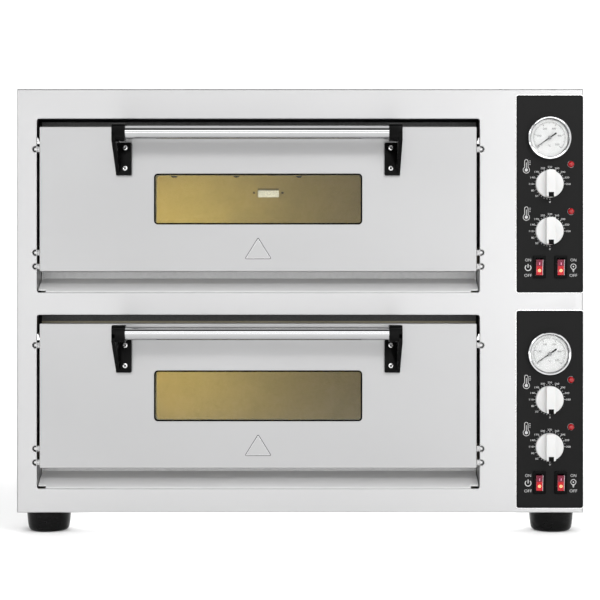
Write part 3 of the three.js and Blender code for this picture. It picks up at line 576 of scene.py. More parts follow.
def element_steel():
    """Heating tube, dark and oxidised."""
    tones = ((0.05, 0.04, 0.036), (0.12, 0.1, 0.085), (0.2, 0.15, 0.11))
    return patterned("element_steel", 60, tones, (0.4, 0.65), (0.1 * MM, 0.5), 5.0, 0.7, metallic=0.7)


def white_plastic():
    """Moulded knob plastic, slightly uneven in gloss."""
    tones = ((0.595, 0.595, 0.59), (0.63, 0.63, 0.625))
    relief = (0.02 * MM, 0.35)
    fine = (1600, 2.0)
    light = {"Specular_IOR_Level": 0.25, "Subsurface_Weight": 0.04, "Subsurface_Scale": 0.001}
    return patterned("white_plastic", (40, 40, 18), tones, (0.26, 0.36), relief, 2.0, fine=fine, **light)


def red_lens(name, glow, colour, light=(0.9, 0.0, 0.008), coat=0.3):
    """Clear red plastic over a faint lamp, rippled inside."""
    tones = (shaded(colour, 0.55), colour, shaded(colour, 1.25))
    shine = {"Specular_IOR_Level": 0.25, "Coat_Weight": coat, "Coat_Roughness": 0.06}
    lamp = {"Emission_Strength": glow, "Emission_Color": (*light, 1.0)}
    return patterned(name, 420, tones, (0.1, 0.2), detail=2.0, **shine, **lamp)


def glow_mark(name, strength, colour):
    """Moulded mark in a rocker, lit from behind."""
    lamp = {"Emission_Strength": strength, "Emission_Color": (*colour, 1.0)}
    return patterned(name, 900, (shaded(colour, 0.6), colour), detail=2.0, roughness=0.3, **lamp)


def clear_glass(name, cells, colours, haze, index):
    """A pane with faint smears."""
    return patterned(name, cells, colours, (0.0, haze), Transmission_Weight=1.0, IOR=index)


def lamp_glass():
    """Ribbed, lit glass of the chamber lamp."""
    tones = ((0.95, 0.78, 0.5), (1.0, 0.9, 0.68))
    lamp = {"Transmission_Weight": 0.4, "Emission_Strength": 3.0, "Emission_Color": (1.0, 0.66, 0.28, 1.0)}
    return patterned("lamp_glass", (90, 400, 400), tones, (0.15, 0.3), (0.3 * MM, 0.6), 2.0, **lamp)


def fired_stone():
    """Refractory clay, pitted and toasted."""
    finish = Finish("stone")
    toast = finish.noise(5, detail=4.0, distortion=0.5)
    grit = finish.noise(420, detail=4.0, roughness=0.75)
    factor = finish.mix(0.4, toast, grit)
    finish.colour(factor, (0.26, 0.19, 0.12), (0.47, 0.38, 0.26), (0.6, 0.5, 0.37))
    finish.vary_roughness(grit, 0.8, 0.95)
    finish.bump(grit, 0.4 * MM, 0.7)
    return finish.material


def mineral_wool():
    finish = Finish("mineral_wool", roughness=0.95, Sheen_Weight=0.3)
    fibres = finish.noise((60, 260, 260), detail=6.0, roughness=0.75, distortion=1.2)
    finish.colour(fibres, (0.33, 0.29, 0.17), (0.55, 0.5, 0.33), (0.68, 0.63, 0.45))
    finish.bump(fibres, 3 * MM, 0.8)
    return finish.material


FASCIA_STEEL = sheet_steel("fascia_steel", (0.485, 0.485, 0.488), "X", (0.4, 0.5), 0.025, 0.8)
DOOR_STEEL = sheet_steel("door_steel", (0.412, 0.412, 0.415), "X", (0.4, 0.5), 0.02, 0.8)
SIDE_STEEL = sheet_steel("side_steel", (0.56, 0.56, 0.564), "Z")
TOP_STEEL = sheet_steel("top_steel", (0.54, 0.54, 0.544), "Y")
# Dark steel for the triangle's groove line: painted shade.
GROOVE_PAINTED_SHADE = sheet_steel("triangle_painted_shade", (0.1, 0.1, 0.102), "X")
SILL_STEEL = sill_steel()
LINER_STEEL = liner_steel()
CHASSIS_STEEL = liner_steel("chassis_steel", grey(0.6), grey(0.68))
# Dark olive steel for the strip at the vent's top: painted shade of the duct.
VENT_PAINTED_SHADE = liner_steel("duct_shade_steel", (0.2, 0.18, 0.12), (0.24, 0.22, 0.15))
NUT_STEEL = liner_steel("nut_steel", grey(0.62), grey(0.7))
# Darker steel for the crumb guard: painted shade under the door.
GUARD_PAINTED_SHADE = liner_steel("guard_painted_shade_steel", grey(0.48), grey(0.54))
CHROME = chrome()
BAR_CHROME = chrome("bar_chrome", (0.44, 0.442, 0.447))
BEZEL_CHROME = chrome("bezel_chrome", (0.62, 0.624, 0.63))
PILOT_BEZEL = chrome("pilot_bezel", (0.4, 0.36, 0.37))
SCREW_STEEL = screw_steel()
# Very pale steel for the chamfer round the control plates: a painted highlight.
PAINTED_HIGHLIGHT_STEEL = screw_steel("trim_painted_highlight", 0.86, 0.92)
BLACK_PANEL = black_panel()
PANEL_BORDER = black_panel("panel_border", 0.002)
BLACK_PLASTIC = black_plastic()
# Dull black for the window seals and element hangers, and for painted shade: the screw crosses and the strips
# in the door openings.
DULL_BLACK_AND_PAINTED_SHADE = black_plastic("dull_black_and_painted_shade", 0.0015, (0.5, 0.65), 0.04)
NEEDLE_BLACK = black_plastic("needle_black", 0.002, (0.4, 0.5), 0.08)
WHITE_PLASTIC = white_plastic()
PILOT_RED = red_lens("pilot_red", 0.1, (0.26, 0.001, 0.003), coat=0.6)
ROCKER_RED = red_lens("rocker_red", 0.12, (0.36, 0.002, 0.008))
# Darker, purplish red for the rocker's upper half: painted shade.
ROCKER_PAINTED_SHADE = red_lens("rocker_upper_painted_shade", 0.04, (0.13, 0.004, 0.02), (0.6, 0.02, 0.12))
# The rocker's side strips: the right one glows pale pink as a painted highlight, the left one is a dim red as
# painted shade.
ROCKER_LIGHT_STRIPS = {
    "left": red_lens("strip_painted_shade", 0.04, (0.2, 0.05, 0.07)),
    "right": red_lens("strip_painted_highlight", 0.35, (0.5, 0.42, 0.44), (0.8, 0.62, 0.66)),
}
GLOW_ORANGE = glow_mark("glow_orange", 1.1, (1.0, 0.5, 0.22))
GLOW_PINK = glow_mark("glow_pink", 0.3, (1.0, 0.3, 0.5))
WINDOW_GLASS = clear_glass("window_glass", 12, ((0.9, 0.88, 0.66), (0.93, 0.91, 0.71)), 0.02, 1.45)
GAUGE_GLASS = clear_glass("gauge_glass", 40, ((0.96, 0.97, 0.97), (0.99, 0.99, 0.99)), 0.03, 1.12)
LAMP_GLASS = lamp_glass()
STONE = fired_stone()
WOOL = mineral_wool()
ELEMENT_STEEL = element_steel()
FOOT_RUBBER = foot_rubber()
GREY_PLASTIC = patterned("grey_plastic", 900, (grey(0.19), grey(0.26)), (0.45, 0.6), (0.05 * MM, 0.4))
SEAL_FIBRE = seal_fibre()
WHITE_PRINT = patterned("white_print", 700, (grey(0.54), grey(0.6)), roughness=0.5, Specular_IOR_Level=0.3)
DIAL_PRINT = patterned("dial_print", 900, (grey(0.02), grey(0.035)), roughness=0.6)
ENAMEL_TONES = ((0.56, 0.56, 0.555), (0.6, 0.6, 0.595))
DIAL_ENAMEL = patterned("dial_enamel", 60, ENAMEL_TONES, detail=2.0, roughness=0.4)

# ---------------- places in the CAD model


def centre_of(node):
    low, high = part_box(node)
    return (low + high) / 2


def front_middle(low, high):
    """The middle of a box in X and Z."""
    return (low.x + high.x) / 2, (low.z + high.z) / 2


def front_outline(low, high, grow, radius):
    """The rounded outline of a box seen from the front, made wider and higher by a number."""
    return rounded_rectangle(*front_middle(low, high), high.x - low.x + grow, high.z - low.z + grow, radius)


def opening(deck):
    """The middle of a deck's door opening in X, and its lower edge in Z."""
    return centre_of(f"{deck}_sill_plate").x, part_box(f"{deck}_baking_stone")[1].z - STONE_TOP


def vent_middle(deck):
    """The middle of a deck's vent duct, in X and Z."""
    return centre_of(f"{deck}_baking_stone").x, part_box(f"{deck}_baking_stone")[1].z + VENT_ABOVE_STONE


def window_box(deck):
    low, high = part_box(f"{deck}_door_glass")
    margin = Vector((GLASS_OVERLAP, 0, GLASS_OVERLAP))
    return low + margin, high - margin


def plate_front(deck):
    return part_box(f"{deck}_control_panel")[0].y


# ---------------- CAD nodes that stay


def dress(node, material, bevel=0.0):
    """Gives a CAD node its material, and a small round to its edges."""
    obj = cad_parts[node]
    obj.data.materials.clear()
    obj.data.materials.append(material)
    if bevel:
        modifier = obj.modifiers.new("edges", "BEVEL")
        modifier.width = bevel
        modifier.segments = 2
        modifier.limit_method = "ANGLE"
        modifier.angle_limit = math.radians(40)
        modifier.harden_normals = True


def dress_casing():
    dress("top_cover", TOP_STEEL, 0.3 * MM)
    for node in ("left_side_panel", "right_side_panel", "rear_panel"):
        dress(node, SIDE_STEEL, 0.3 * MM)
    dress("base_chassis", CHASSIS_STEEL)
    dress("insulation_jacket", WOOL)


def dress_deck(deck):
    dress(f"{deck}_chamber_liner", LINER_STEEL)
    dress(f"{deck}_sill_plate", SILL_STEEL, 0.25 * MM)
    dress(f"{deck}_baking_stone", STONE, 0.6 * MM)
    dress(f"{deck}_chamber_lamp", LAMP_GLASS)
    dress(f"{deck}_door_inner_panel", CHASSIS_STEEL, 0.3 * MM)
    dress(f"{deck}_door_glass", WINDOW_GLASS)
    dress(f"{deck}_control_panel", BLACK_PANEL, 0.3 * MM)
    dress(f"{deck}_thermostats", GREY_PLASTIC, 0.4 * MM)
    for place in ("top", "bottom"):
        dress(f"{deck}_{place}_heating_element", ELEMENT_STEEL)


# ---------------- folded sheets


def at_front(points, front):
    return all(abs(vertex.co.y - front) < 0.01 * MM for vertex in points)


def refill_front(bm, front):
    """Fills the flat front again with triangles, which a face with many holes needs."""
    flat = [face for face in bm.faces if at_front(face.verts, front)]
    bmesh.ops.delete(bm, geom=flat, context="FACES")
    rim = [edge for edge in bm.edges if len(edge.link_faces) == 1]
    bmesh.ops.triangle_fill(bm, use_beauty=True, use_dissolve=False, edges=rim, normal=(0, -1, 0))


def rolled_sheet(node, name, material, body, rolls):
    """Copies a folded sheet from the CAD and rolls its front edges; rolls is [(radius, chooser), ...]."""
    bm = bmesh.new()
    bm.from_mesh(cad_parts[node].data)
    bmesh.ops.remove_doubles(bm, verts=bm.verts, dist=1e-6)
    bmesh.ops.dissolve_limit(bm, angle_limit=math.radians(1), verts=bm.verts, edges=bm.edges)
    front = min(vertex.co.y for vertex in bm.verts)
    for radius, chooser in rolls:
        edges = [
            edge
            for edge in bm.edges
            if len(edge.link_faces) == 2
            and abs(edge.calc_face_angle(0)) > math.radians(60)
            and at_front(edge.verts, front)
            and chooser((edge.verts[0].co + edge.verts[1].co) / 2)
        ]
        bmesh.ops.bevel(
            bm, geom=edges, offset=radius, segments=4, profile=0.5, affect="EDGES", clamp_overlap=False
        )
    refill_front(bm, front)
    sheet = piece(name, bm, material, body, [node], 50)
    sheet.modifiers.new("flat_faces_stay_flat", "WEIGHTED_NORMAL").keep_sharp = True


def fascia():
    """The pressed front, with soft folds at its outer edge and round both door openings."""
    low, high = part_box("front_fascia")
    panels_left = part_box("upper_control_panel")[0].x

    def outer(spot):
        beside = min(spot.x - low.x, high.x - spot.x) < MM
        return beside or min(spot.z - low.z, high.z - spot.z) < MM

    def inner(spot):
        return not outer(spot) and spot.x < panels_left - 20 * MM

    rolls = [(OUTER_ROLL, outer), (OPENING_ROLL, inner)]
    rolled_sheet("front_fascia", "pressed_fascia", FASCIA_STEEL, "casing", rolls)


def door_skin(deck):
    """The door's outer sheet, folded softly at its edges and round the window."""
    low, high = window_box(deck)

    def near_window(spot):
        across = low.x - 2 * MM < spot.x < high.x + 2 * MM
        return across and low.z - 2 * MM < spot.z < high.z + 2 * MM

    rolls = [(DOOR_ROLL, lambda spot: not near_window(spot)), (WINDOW_ROLL, near_window)]
    rolled_sheet(f"{deck}_door_shell", f"{deck}_door_skin", DOOR_STEEL, f"{deck}_door", rolls)


# ---------------- screws


def add_screw(bm, centre, axis, radius, height):
    """A pan head with a sunken middle; centre is on the surface it clamps."""
    shares = [(0, -0.4), (1, -0.4), (1, 0.35), (0.86, 0.75), (0.55, 1), (0.1925, 0.55), (0, 0.5)]
    add_lathe(bm, [(radius * out, height * up) for out, up in shares], axis, centre, 20)


def add_cross(bm, centre, axis, radius, height):
    """The dark cross in a screw's head: painted shade for its recess."""
    place = axis_frame(axis, centre)
    lift = Matrix.Translation((0, 0, height * 0.8))
    shape = Matrix.Diagonal((1.2 * radius, 0.26 * radius, height * 0.5, 1))
    for turn in (45, 135):
        made = bmesh.ops.create_cube(bm, size=1.0)
        matrix = place @ Matrix.Rotation(math.radians(turn), 4, "Z") @ lift @ shape
        bmesh.ops.transform(bm, matrix=matrix, verts=made["verts"])


def screws(name, centres, axis, radius, height, body, material=SCREW_STEEL):
    """A group of equal screws and the dark crosses in their heads, which are painted shade."""
    heads = bmesh.new()
    crosses = bmesh.new()
    for centre in centres:
        add_screw(heads, centre, axis, radius, height)
        add_cross(crosses, centre, axis, radius, height)
    piece(name, heads, material, body)
    piece(f"{name}_cross_shade", crosses, DULL_BLACK_AND_PAINTED_SHADE, body)


# ---------------- handle


def handle_bar(deck):
    low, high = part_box(f"{deck}_handle_bar")
    radius = (high.z - low.z) / 2
    half = (high.x - low.x) / 2
    profile = [(0, -half), (radius - MM, -half), (radius, -half + MM)]
    profile += [(radius, half - MM), (radius - MM, half), (0, half)]
    bm = lathe(profile, (1, 0, 0), (low + high) / 2, 64)
    piece(f"{deck}_handle_tube", bm, BAR_CHROME, f"{deck}_door", [f"{deck}_handle_bar"])


def handle_bracket(deck, side):
    """Knuckle round the bar's end, tapering web and screwed foot, moulded in one."""
    node = f"{deck}_handle_{side}_bracket"
    way = SIDES[side]
    low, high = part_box(node)
    bar = centre_of(f"{deck}_handle_bar")
    half = high.z - bar.z
    outer = high.x if way > 0 else low.x
    foot_front = high.y - BRACKET_FOOT_THICKNESS
    foot_top = bar.z - BRACKET_FOOT_TOP
    bm = bmesh.new()
    knuckle = rounded_rectangle(bar.y, bar.z, 2 * half, 2 * half, 7 * MM)
    add_prism(bm, knuckle, *sorted((outer - way * KNUCKLE_LENGTH, outer)), "X")
    web = [(low.y, bar.z), (low.y, bar.z - half), (foot_front, low.z + 4 * MM), (foot_front + 2 * MM, low.z)]
    web += [(high.y, low.z), (high.y, foot_top), (bar.y + half, bar.z - 3 * MM), (bar.y + half, bar.z)]
    add_prism(bm, web, *sorted((outer - way * BRACKET_WEB, outer)), "X")
    foot_middle = ((low.x + high.x) / 2, (low.z + foot_top) / 2)
    foot = rounded_rectangle(*foot_middle, high.x - low.x, foot_top - low.z, 2.5 * MM)
    add_prism(bm, foot, foot_front, high.y)
    round_edges(bm, 0.9 * MM, 2)
    piece(f"{deck}_{side}_bracket", bm, BLACK_PLASTIC, f"{deck}_door", [node])
    screw_x = outer - way * BRACKET_SCREW_INSET
    centres = [Vector((screw_x, foot_front, bar.z - below)) for below in BRACKET_SCREWS]
    screws(f"{deck}_{side}_bracket_screws", centres, (0, -1, 0), 4.1 * MM, 1.6 * MM, f"{deck}_door")


# ---------------- door


def stamped_triangle(deck):
    """An empty rounded triangle pressed in the sheet below the window: a thin dark ring of painted shade for
    its groove and a pale ring of painted highlight for its raised rim.
    """
    low, high = window_box(deck)
    x = (low.x + high.x) / 2
    top = low.z - TRIANGLE_BELOW_WINDOW
    bottom = top - TRIANGLE_HEIGHT
    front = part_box(f"{deck}_door_shell")[0].y

    def outline(inset):
        half = TRIANGLE_WIDTH / 2 - 1.8 * inset
        corners = [(x, top - 2.2 * inset), (x - half, bottom + inset), (x + half, bottom + inset)]
        return rounded_polygon(corners, TRIANGLE_CORNER - inset)

    def ring(name, outer, inner, proud, material):
        depths = (front - proud, front + 0.3 * MM)
        ring_piece(name, outline(outer), outline(inner), *depths, material, f"{deck}_door", "door_steel")

    # The dark ring is painted shade, the pale ring a painted highlight.
    ring(f"{deck}_triangle_shade_line", 0, 1.3 * MM, 0.06 * MM, GROOVE_PAINTED_SHADE)
    ring(f"{deck}_triangle_highlight_rim", 1.3 * MM, 1.7 * MM, 0.25 * MM, SCREW_STEEL)


def window_reveal(deck):
    """Thin dark seal between the glass and the edge of the window."""
    low, high = window_box(deck)
    outer = front_outline(low, high, -0.2 * MM, 6.2 * MM)
    inner = front_outline(low, high, -5 * MM, 4.2 * MM)
    depths = (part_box(f"{deck}_door_shell")[0].y + 0.8 * MM, low.y - 0.05 * MM)
    ring_piece(f"{deck}_window_seal", outer, inner, *depths, DULL_BLACK_AND_PAINTED_SHADE, f"{deck}_door", "black_plastic")


def door_inner_screws(deck):
    """Screws that hold the inner panel and the collar of the window."""
    low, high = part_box(f"{deck}_door_inner_panel")
    columns = [low.x + share * (high.x - low.x) for share in (0.04, 0.35, 0.65, 0.96)]
    rows = (low.z + 10 * MM, high.z - 10 * MM)
    centres = [Vector((x, high.y, z)) for x in columns for z in rows]
    screws(f"{deck}_inner_panel_screws", centres, (0, 1, 0), 3.4 * MM, 1.2 * MM, f"{deck}_door")


# ---------------- door opening


def jamb_nut(bm, centre, way):
    """A bolt through the jamb: its hexagon head stands in the side gap, its domed nut outside."""
    hexagon = circle(centre.y, centre.z, 5.2 * MM, 6)
    add_prism(bm, hexagon, *sorted((centre.x - way * 4.2 * MM, centre.x - way * 0.3 * MM)), "X")
    dome = in_mm((0, 1.5), (3.9, 1.5), (3.8, 3.6), (3.1, 5.4), (1.8, 6.4), (0, 6.8))
    add_lathe(bm, dome, (way, 0, 0), centre, 20)


def jamb_fittings(deck):
    """The three domed nuts at each side of the opening, and the catch above the highest."""
    x, bottom = opening(deck)
    nuts = bmesh.new()
    catches = bmesh.new()
    for way in SIDES.values():
        for height in NUT_HEIGHTS:
            jamb_nut(nuts, Vector((x + way * OPENING_HALF, front_y + NUT_DEPTH, bottom + height)), way)
        edge = x + way * OPENING_REACH
        catch = in_mm((0, 249), (0, 259.5), (-1.2 * way, 259), (-4.2 * way, 251.5), (-4.2 * way, 249))
        add_prism(catches, shifted(catch, edge, bottom), front_y + MM, front_y + 9 * MM)
    piece(f"{deck}_jamb_nuts", nuts, NUT_STEEL, "casing")
    piece(f"{deck}_door_catches", catches, SCREW_STEEL, "casing")


def jamb_lining(deck):
    """Black strips inside the opening's head and jambs: painted shade that makes the gaps round the door
    dark.
    """
    x, bottom = opening(deck)
    head = bottom + OPENING_HEIGHT
    front, back = front_y + 3 * MM, front_y + JAMB_DEPTH
    foot_of_painted_shade = bottom + NUT_HEIGHTS[1] + 7 * MM
    bm = bmesh.new()
    add_box(bm, (x - OPENING_REACH, front, head - 0.7 * MM), (x + OPENING_REACH, back, head - 0.2 * MM))
    for way in SIDES.values():
        inner, outer = sorted((x + way * (OPENING_REACH - 0.4 * MM), x + way * OPENING_REACH))
        add_box(bm, (inner, front + 11 * MM, foot_of_painted_shade), (outer, back, head - 0.8 * MM))
    piece(f"{deck}_jamb_lining", bm, DULL_BLACK_AND_PAINTED_SHADE, "casing")


def chamber_seal(deck):
    """The fibre strip over the chamber's mouth, seen through the gap above the door."""
    x, bottom = opening(deck)
    head = bottom + OPENING_HEIGHT
    back = front_y + JAMB_DEPTH
    low = (x - OPENING_REACH, back + MM, head - 10.5 * MM)
    high = (x + OPENING_REACH, back + 2 * MM, head - 0.2 * MM)
    box_piece(f"{deck}_chamber_seal", low, high, SEAL_FIBRE)


def crumb_guard(deck):
    """The upright strip on the sill behind the door's lower edge, which keeps crumbs in the chamber; its
    steel is darker than the sill's as painted shade under the door.
    """
    x, bottom = opening(deck)
    low = (x - GUARD_HALF, front_y + 49.6 * MM, bottom + 23.6 * MM)
    high = (x + GUARD_HALF, front_y + 50.3 * MM, bottom + 36 * MM)
    box_piece(f"{deck}_crumb_guard", low, high, GUARD_PAINTED_SHADE)


# ---------------- chamber


def element_hangers(deck):
    """Clips that hold the top heating element to the ceiling."""
    low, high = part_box(f"{deck}_top_heating_element")
    middle = (low + high) / 2

    def hanger(x, radius, roof):
        outline = arc_points(x, middle.z, radius, 90, 270, 10)
        return outline + [(x - radius, middle.z + roof), (x + radius, middle.z + roof)]

    bm = bmesh.new()
    for run in (-1.5, -0.5, 0.5, 1.5):
        for depth in (0.22, 0.88):
            x = middle.x + run * ELEMENT_PITCH
            y = low.y + depth * (high.y - low.y)
            outer, inner = hanger(x, 8 * MM, 7 * MM), hanger(x, 4.3 * MM, 6.4 * MM)
            add_frame(bm, outer, inner, y - 6 * MM, y + 6 * MM)
    piece(f"{deck}_element_hangers", bm, DULL_BLACK_AND_PAINTED_SHADE, "casing")


def vent_frame(deck):
    """The frame of the vent at the chamber's back wall, with its two screws and a dark strip over the top of
    its mouth, which is painted shade of the duct.
    """
    x, z = vent_middle(deck)
    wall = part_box(f"{deck}_baking_stone")[1].y + 4 * MM
    outer = rounded_rectangle(x, z, *VENT_FRAME, 2 * MM)
    inner = rounded_rectangle(x, z, *VENT_MOUTH, MM)
    depths = (wall - 1.2 * MM, wall - 0.1 * MM)
    ring_piece(f"{deck}_vent_frame", outer, inner, *depths, LINER_STEEL, "casing", "liner_steel")
    # A dark strip over the top of the vent's mouth: painted shade.
    shade_low = (x - 23.2 * MM, wall - 1.1 * MM, z + 5.4 * MM)
    shade_high = (x + 23.2 * MM, wall - 0.3 * MM, z + 9.8 * MM)
    box_piece(f"{deck}_vent_top_painted_shade", shade_low, shade_high, VENT_PAINTED_SHADE)
    centres = [Vector((x + way * VENT_SCREW_REACH, wall, z)) for way in SIDES.values()]
    screws(f"{deck}_vent_screws", centres, (0, -1, 0), 2.6 * MM, 1.4 * MM, "casing", ELEMENT_STEEL)


def lamp_ring(deck):
    """Retaining ring of the chamber lamp, in front of its flange."""
    low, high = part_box(f"{deck}_chamber_lamp")
    centre = Vector((high.x, (low.y + high.y) / 2, (low.z + high.z) / 2))
    back = low.x + LAMP_FLANGE - high.x
    section = in_mm((33.5, 0.4), (33.5, 3.4), (31, 5), (26.5, 5.6), (26.5, 4.6), (32.4, 3.6), (32.4, 0.4))
    bm = lathe(shifted([*section, section[0]], 0, back), (1, 0, 0), centre, 40)
    bmesh.ops.remove_doubles(bm, verts=bm.verts, dist=1e-6)
    piece(f"{deck}_lamp_ring", bm, SCREW_STEEL, "casing")


# ---------------- gauge


def gauge(deck):
    """The plated case, the dial, its marks and needle, the packing ring and the glass."""
    node = f"{deck}_gauge_case"
    low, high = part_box(node)
    x, z = front_middle(low, high)
    radius = (high.z - low.z) / 2
    inner = radius - GAUGE_BEZEL
    rim = low.y
    face = rim + GAUGE_RECESS
    seat = plate_front(deck) - 0.3 * MM
    back = front_y + GAUGE_DEPTH
    case = [(inner + 0.2 * MM, face + 0.2 * MM), (inner + 0.2 * MM, rim + 1.2 * MM)]
    case += [(inner + MM, rim + 0.2 * MM), (radius - 2.2 * MM, rim), (radius - MM, rim + 0.5 * MM)]
    case += [(radius - 0.2 * MM, rim + 1.7 * MM), (radius, rim + 3.2 * MM), (radius, seat)]
    case += [(radius - 5.5 * MM, seat), (radius - 5.5 * MM, back), (0, back), (0, face + 0.2 * MM)]
    bm = add_turned(bmesh.new(), case, x, z, 72)
    bmesh.ops.remove_doubles(bm, verts=bm.verts, dist=1e-7)
    piece(f"{deck}_gauge_body", bm, BEZEL_CHROME, "casing", [node])
    dial = add_turned(bmesh.new(), disc(inner, face, face + 0.1 * MM), x, z, 72)
    piece(f"{deck}_gauge_dial", dial, DIAL_ENAMEL, "casing")
    gauge_marks(deck, x, z, face)
    gauge_needle(deck, x, z)
    outlines = (circle(x, z, inner + 0.1 * MM, 72), circle(x, z, inner - 0.9 * MM, 72))
    depths = (face - 1.6 * MM, face - 0.2 * MM)
    ring_piece(f"{deck}_gauge_packing", *outlines, *depths, GREY_PLASTIC, "casing", "grey_plastic")
    pane = add_turned(bmesh.new(), disc(inner + 0.1 * MM, rim + 0.3 * MM, rim + 0.9 * MM), x, z, 72)
    piece(f"{deck}_gauge_glass", pane, GAUGE_GLASS, "casing")


def gauge_marks(deck, x, z, face):
    marks = Print(face)
    for index, value in enumerate(GAUGE_LABELS):
        degrees = GAUGE_ZERO + GAUGE_STEP * index
        marks.tick(x, z, 21.8 * MM, 26.5 * MM, degrees, 0.7 * MM)
        marks.text(str(value), *polar(x, z, 17.2 * MM, degrees), 2.3 * len(str(value)) * MM, 3.1 * MM)
        if value < GAUGE_LABELS[-1]:
            for minor in range(1, 10):
                inner = (23.6 if minor == 5 else 24.6) * MM
                marks.tick(x, z, inner, 26.5 * MM, degrees + GAUGE_STEP * minor / 10, 0.35 * MM)
    last = GAUGE_ZERO + GAUGE_STEP * (len(GAUGE_LABELS) - 1)
    marks.stroke(arc_points(x, z, 26.7 * MM, GAUGE_ZERO, last, 64), 0.3 * MM)
    marks.text("°C", x, z - 13 * MM, 4.6 * MM, 3.2 * MM)
    piece(f"{deck}_gauge_marks", marks.bm, DIAL_PRINT, "casing")


def gauge_needle(deck, x, z):
    """Tapered pointer with a thick tail, at rest just past the dial's zero."""
    node = f"{deck}_gauge_needle"
    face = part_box(node)[0].y + 1.8 * MM
    along = Vector(polar(0, 0, 1, GAUGE_ZERO + NEEDLE_REST))
    across = Vector((along.y, -along.x))
    sides = in_mm((-13.5, 1.35), (0, 0.95), (25.6, 0.35))
    spots = [along * length + across * half for length, half in sides]
    spots += [along * length - across * half for length, half in reversed(sides)]
    bm = bmesh.new()
    add_prism(bm, shifted(spots, x, z), face - 1.6 * MM, face - 0.9 * MM)
    piece(f"{deck}_needle", bm, NEEDLE_BLACK, node, [node])
    profile = shifted(in_mm((0, -0.3), (3.2, -0.3), (3.2, -1.4), (2.2, -1.9), (0, -1.9)), 0, face)
    hub = add_turned(bmesh.new(), profile, x, z, 24)
    piece(f"{deck}_needle_hub", hub, GREY_PLASTIC, node)


# ---------------- knobs


def knob(deck, which):
    """A round skirt with a raised grip across it, on its spindle."""
    node = f"{deck}_{which}_knob"
    low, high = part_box(node)
    x, z = front_middle(low, high)
    radius = (high.z - low.z) / 2
    skirt = low.y + KNOB_GRIP_RISE
    seat = plate_front(deck) - MM
    profile = [(0, seat), (radius - 0.4 * MM, seat), (radius, seat - 0.4 * MM), (radius, skirt + 1.6 * MM)]
    profile += [(radius - 0.5 * MM, skirt + 0.6 * MM), (radius - 1.6 * MM, skirt), (0, skirt)]
    bm = add_turned(bmesh.new(), profile, x, z, 72)
    reach = math.degrees(math.asin(KNOB_GRIP_HALF / radius))
    outline = arc_points(x, z, radius - 0.15 * MM, -reach, reach, 12)
    outline += arc_points(x, z, radius - 0.15 * MM, 180 - reach, 180 + reach, 12)
    grip = bmesh.new()
    add_prism(grip, outline, low.y, skirt + MM)
    round_edges(grip, 1.1 * MM, 3)
    mesh = new_mesh("grip", grip)
    bm.from_mesh(mesh)
    bpy.data.meshes.remove(mesh)
    add_turned(bm, disc(3 * MM, seat, high.y), x, z, 20)
    piece(f"{deck}_{which}_dial", bm, WHITE_PLASTIC, node, [node])
    knob_pointer(f"{deck}_{which}_pointer", x, z - radius, low.y, node)


def knob_pointer(name, x, bottom, front, body):
    """Black square let into the lower end of the grip."""
    width, height = KNOB_POINTER
    z = bottom + height / 2 + 0.15 * MM
    low = (x - width / 2, front - 0.25 * MM, z - height / 2)
    high = (x + width / 2, front + 1.2 * MM, z + height / 2)
    bm = bmesh.new()
    add_box(bm, low, high)
    round_edges(bm, 0.25 * MM, 2)
    piece(name, bm, BLACK_PLASTIC, body)


def pilot_light(deck, which):
    """Small domed lens in a thin plated ring."""
    node = f"{deck}_{which}_pilot_light"
    low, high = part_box(node)
    radius = (high.z - low.z) / 2
    plate = plate_front(deck)
    x, z = front_middle(low, high)
    centre = Vector((x, plate, z))
    lens = radius - 0.9 * MM
    rise = plate - low.y - PILOT_RING_HEIGHT
    profile = in_mm((0, -15), (4.2, -15), (4.2, 0.4)) + [(lens, 0.4 * MM)]
    for step in range(8):
        turn = math.radians(90 * step / 8)
        profile.append((lens * math.cos(turn), PILOT_RING_HEIGHT + rise * math.sin(turn)))
    profile.append((0, PILOT_RING_HEIGHT + rise))
    bm = lathe(profile, (0, -1, 0), centre, 40)
    piece(f"{deck}_{which}_pilot_lens", bm, PILOT_RED, "casing", [node])
    ring = in_mm((-0.7, 0.3), (0, 0.3), (0, 1.2), (-0.5, 1.7), (-0.7, 1.5), (-0.7, 0.3))
    bm = lathe(shifted(ring, radius, 0), (0, -1, 0), centre, 40)
    bmesh.ops.remove_doubles(bm, verts=bm.verts, dist=1e-7)
    piece(f"{deck}_{which}_pilot_ring", bm, PILOT_BEZEL, "casing")


# ---------------- switches


def switch(deck, use):
    """The moulded frame of a rocker switch, with its body behind the plate and its terminals."""
    node = f"{deck}_{use}_switch_housing"
    low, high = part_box(node)
    x, z = front_middle(low, high)
    plate = plate_front(deck)
    back = front_y + SWITCH_DEPTH
    outer = rounded_rectangle(x, z, *SWITCH_FRAME, 1.5 * MM)
    inner = rounded_rectangle(x, z, *SWITCH_MOUTH, 0.6 * MM)
    bm = bmesh.new()
    add_frame(bm, outer, inner, low.y, plate - 0.3 * MM)
    round_edges(bm, 0.5 * MM, 2)
    add_frame(bm, rounded_rectangle(x, z, *SWITCH_BODY, 0.8 * MM), inner, plate - MM, back)
    piece(f"{deck}_{use}_switch_frame", bm, BLACK_PLASTIC, "casing", [node])
    terminals = bmesh.new()
    for middle in (z - TERMINAL_REACH, z + TERMINAL_REACH):
        bottom, top = middle - 0.4 * MM, middle + 0.4 * MM
        add_box(terminals, (x - 3 * MM, back - MM, bottom), (x + 3 * MM, high.y, top))
    piece(f"{deck}_{use}_switch_terminals", terminals, SCREW_STEEL, "casing")


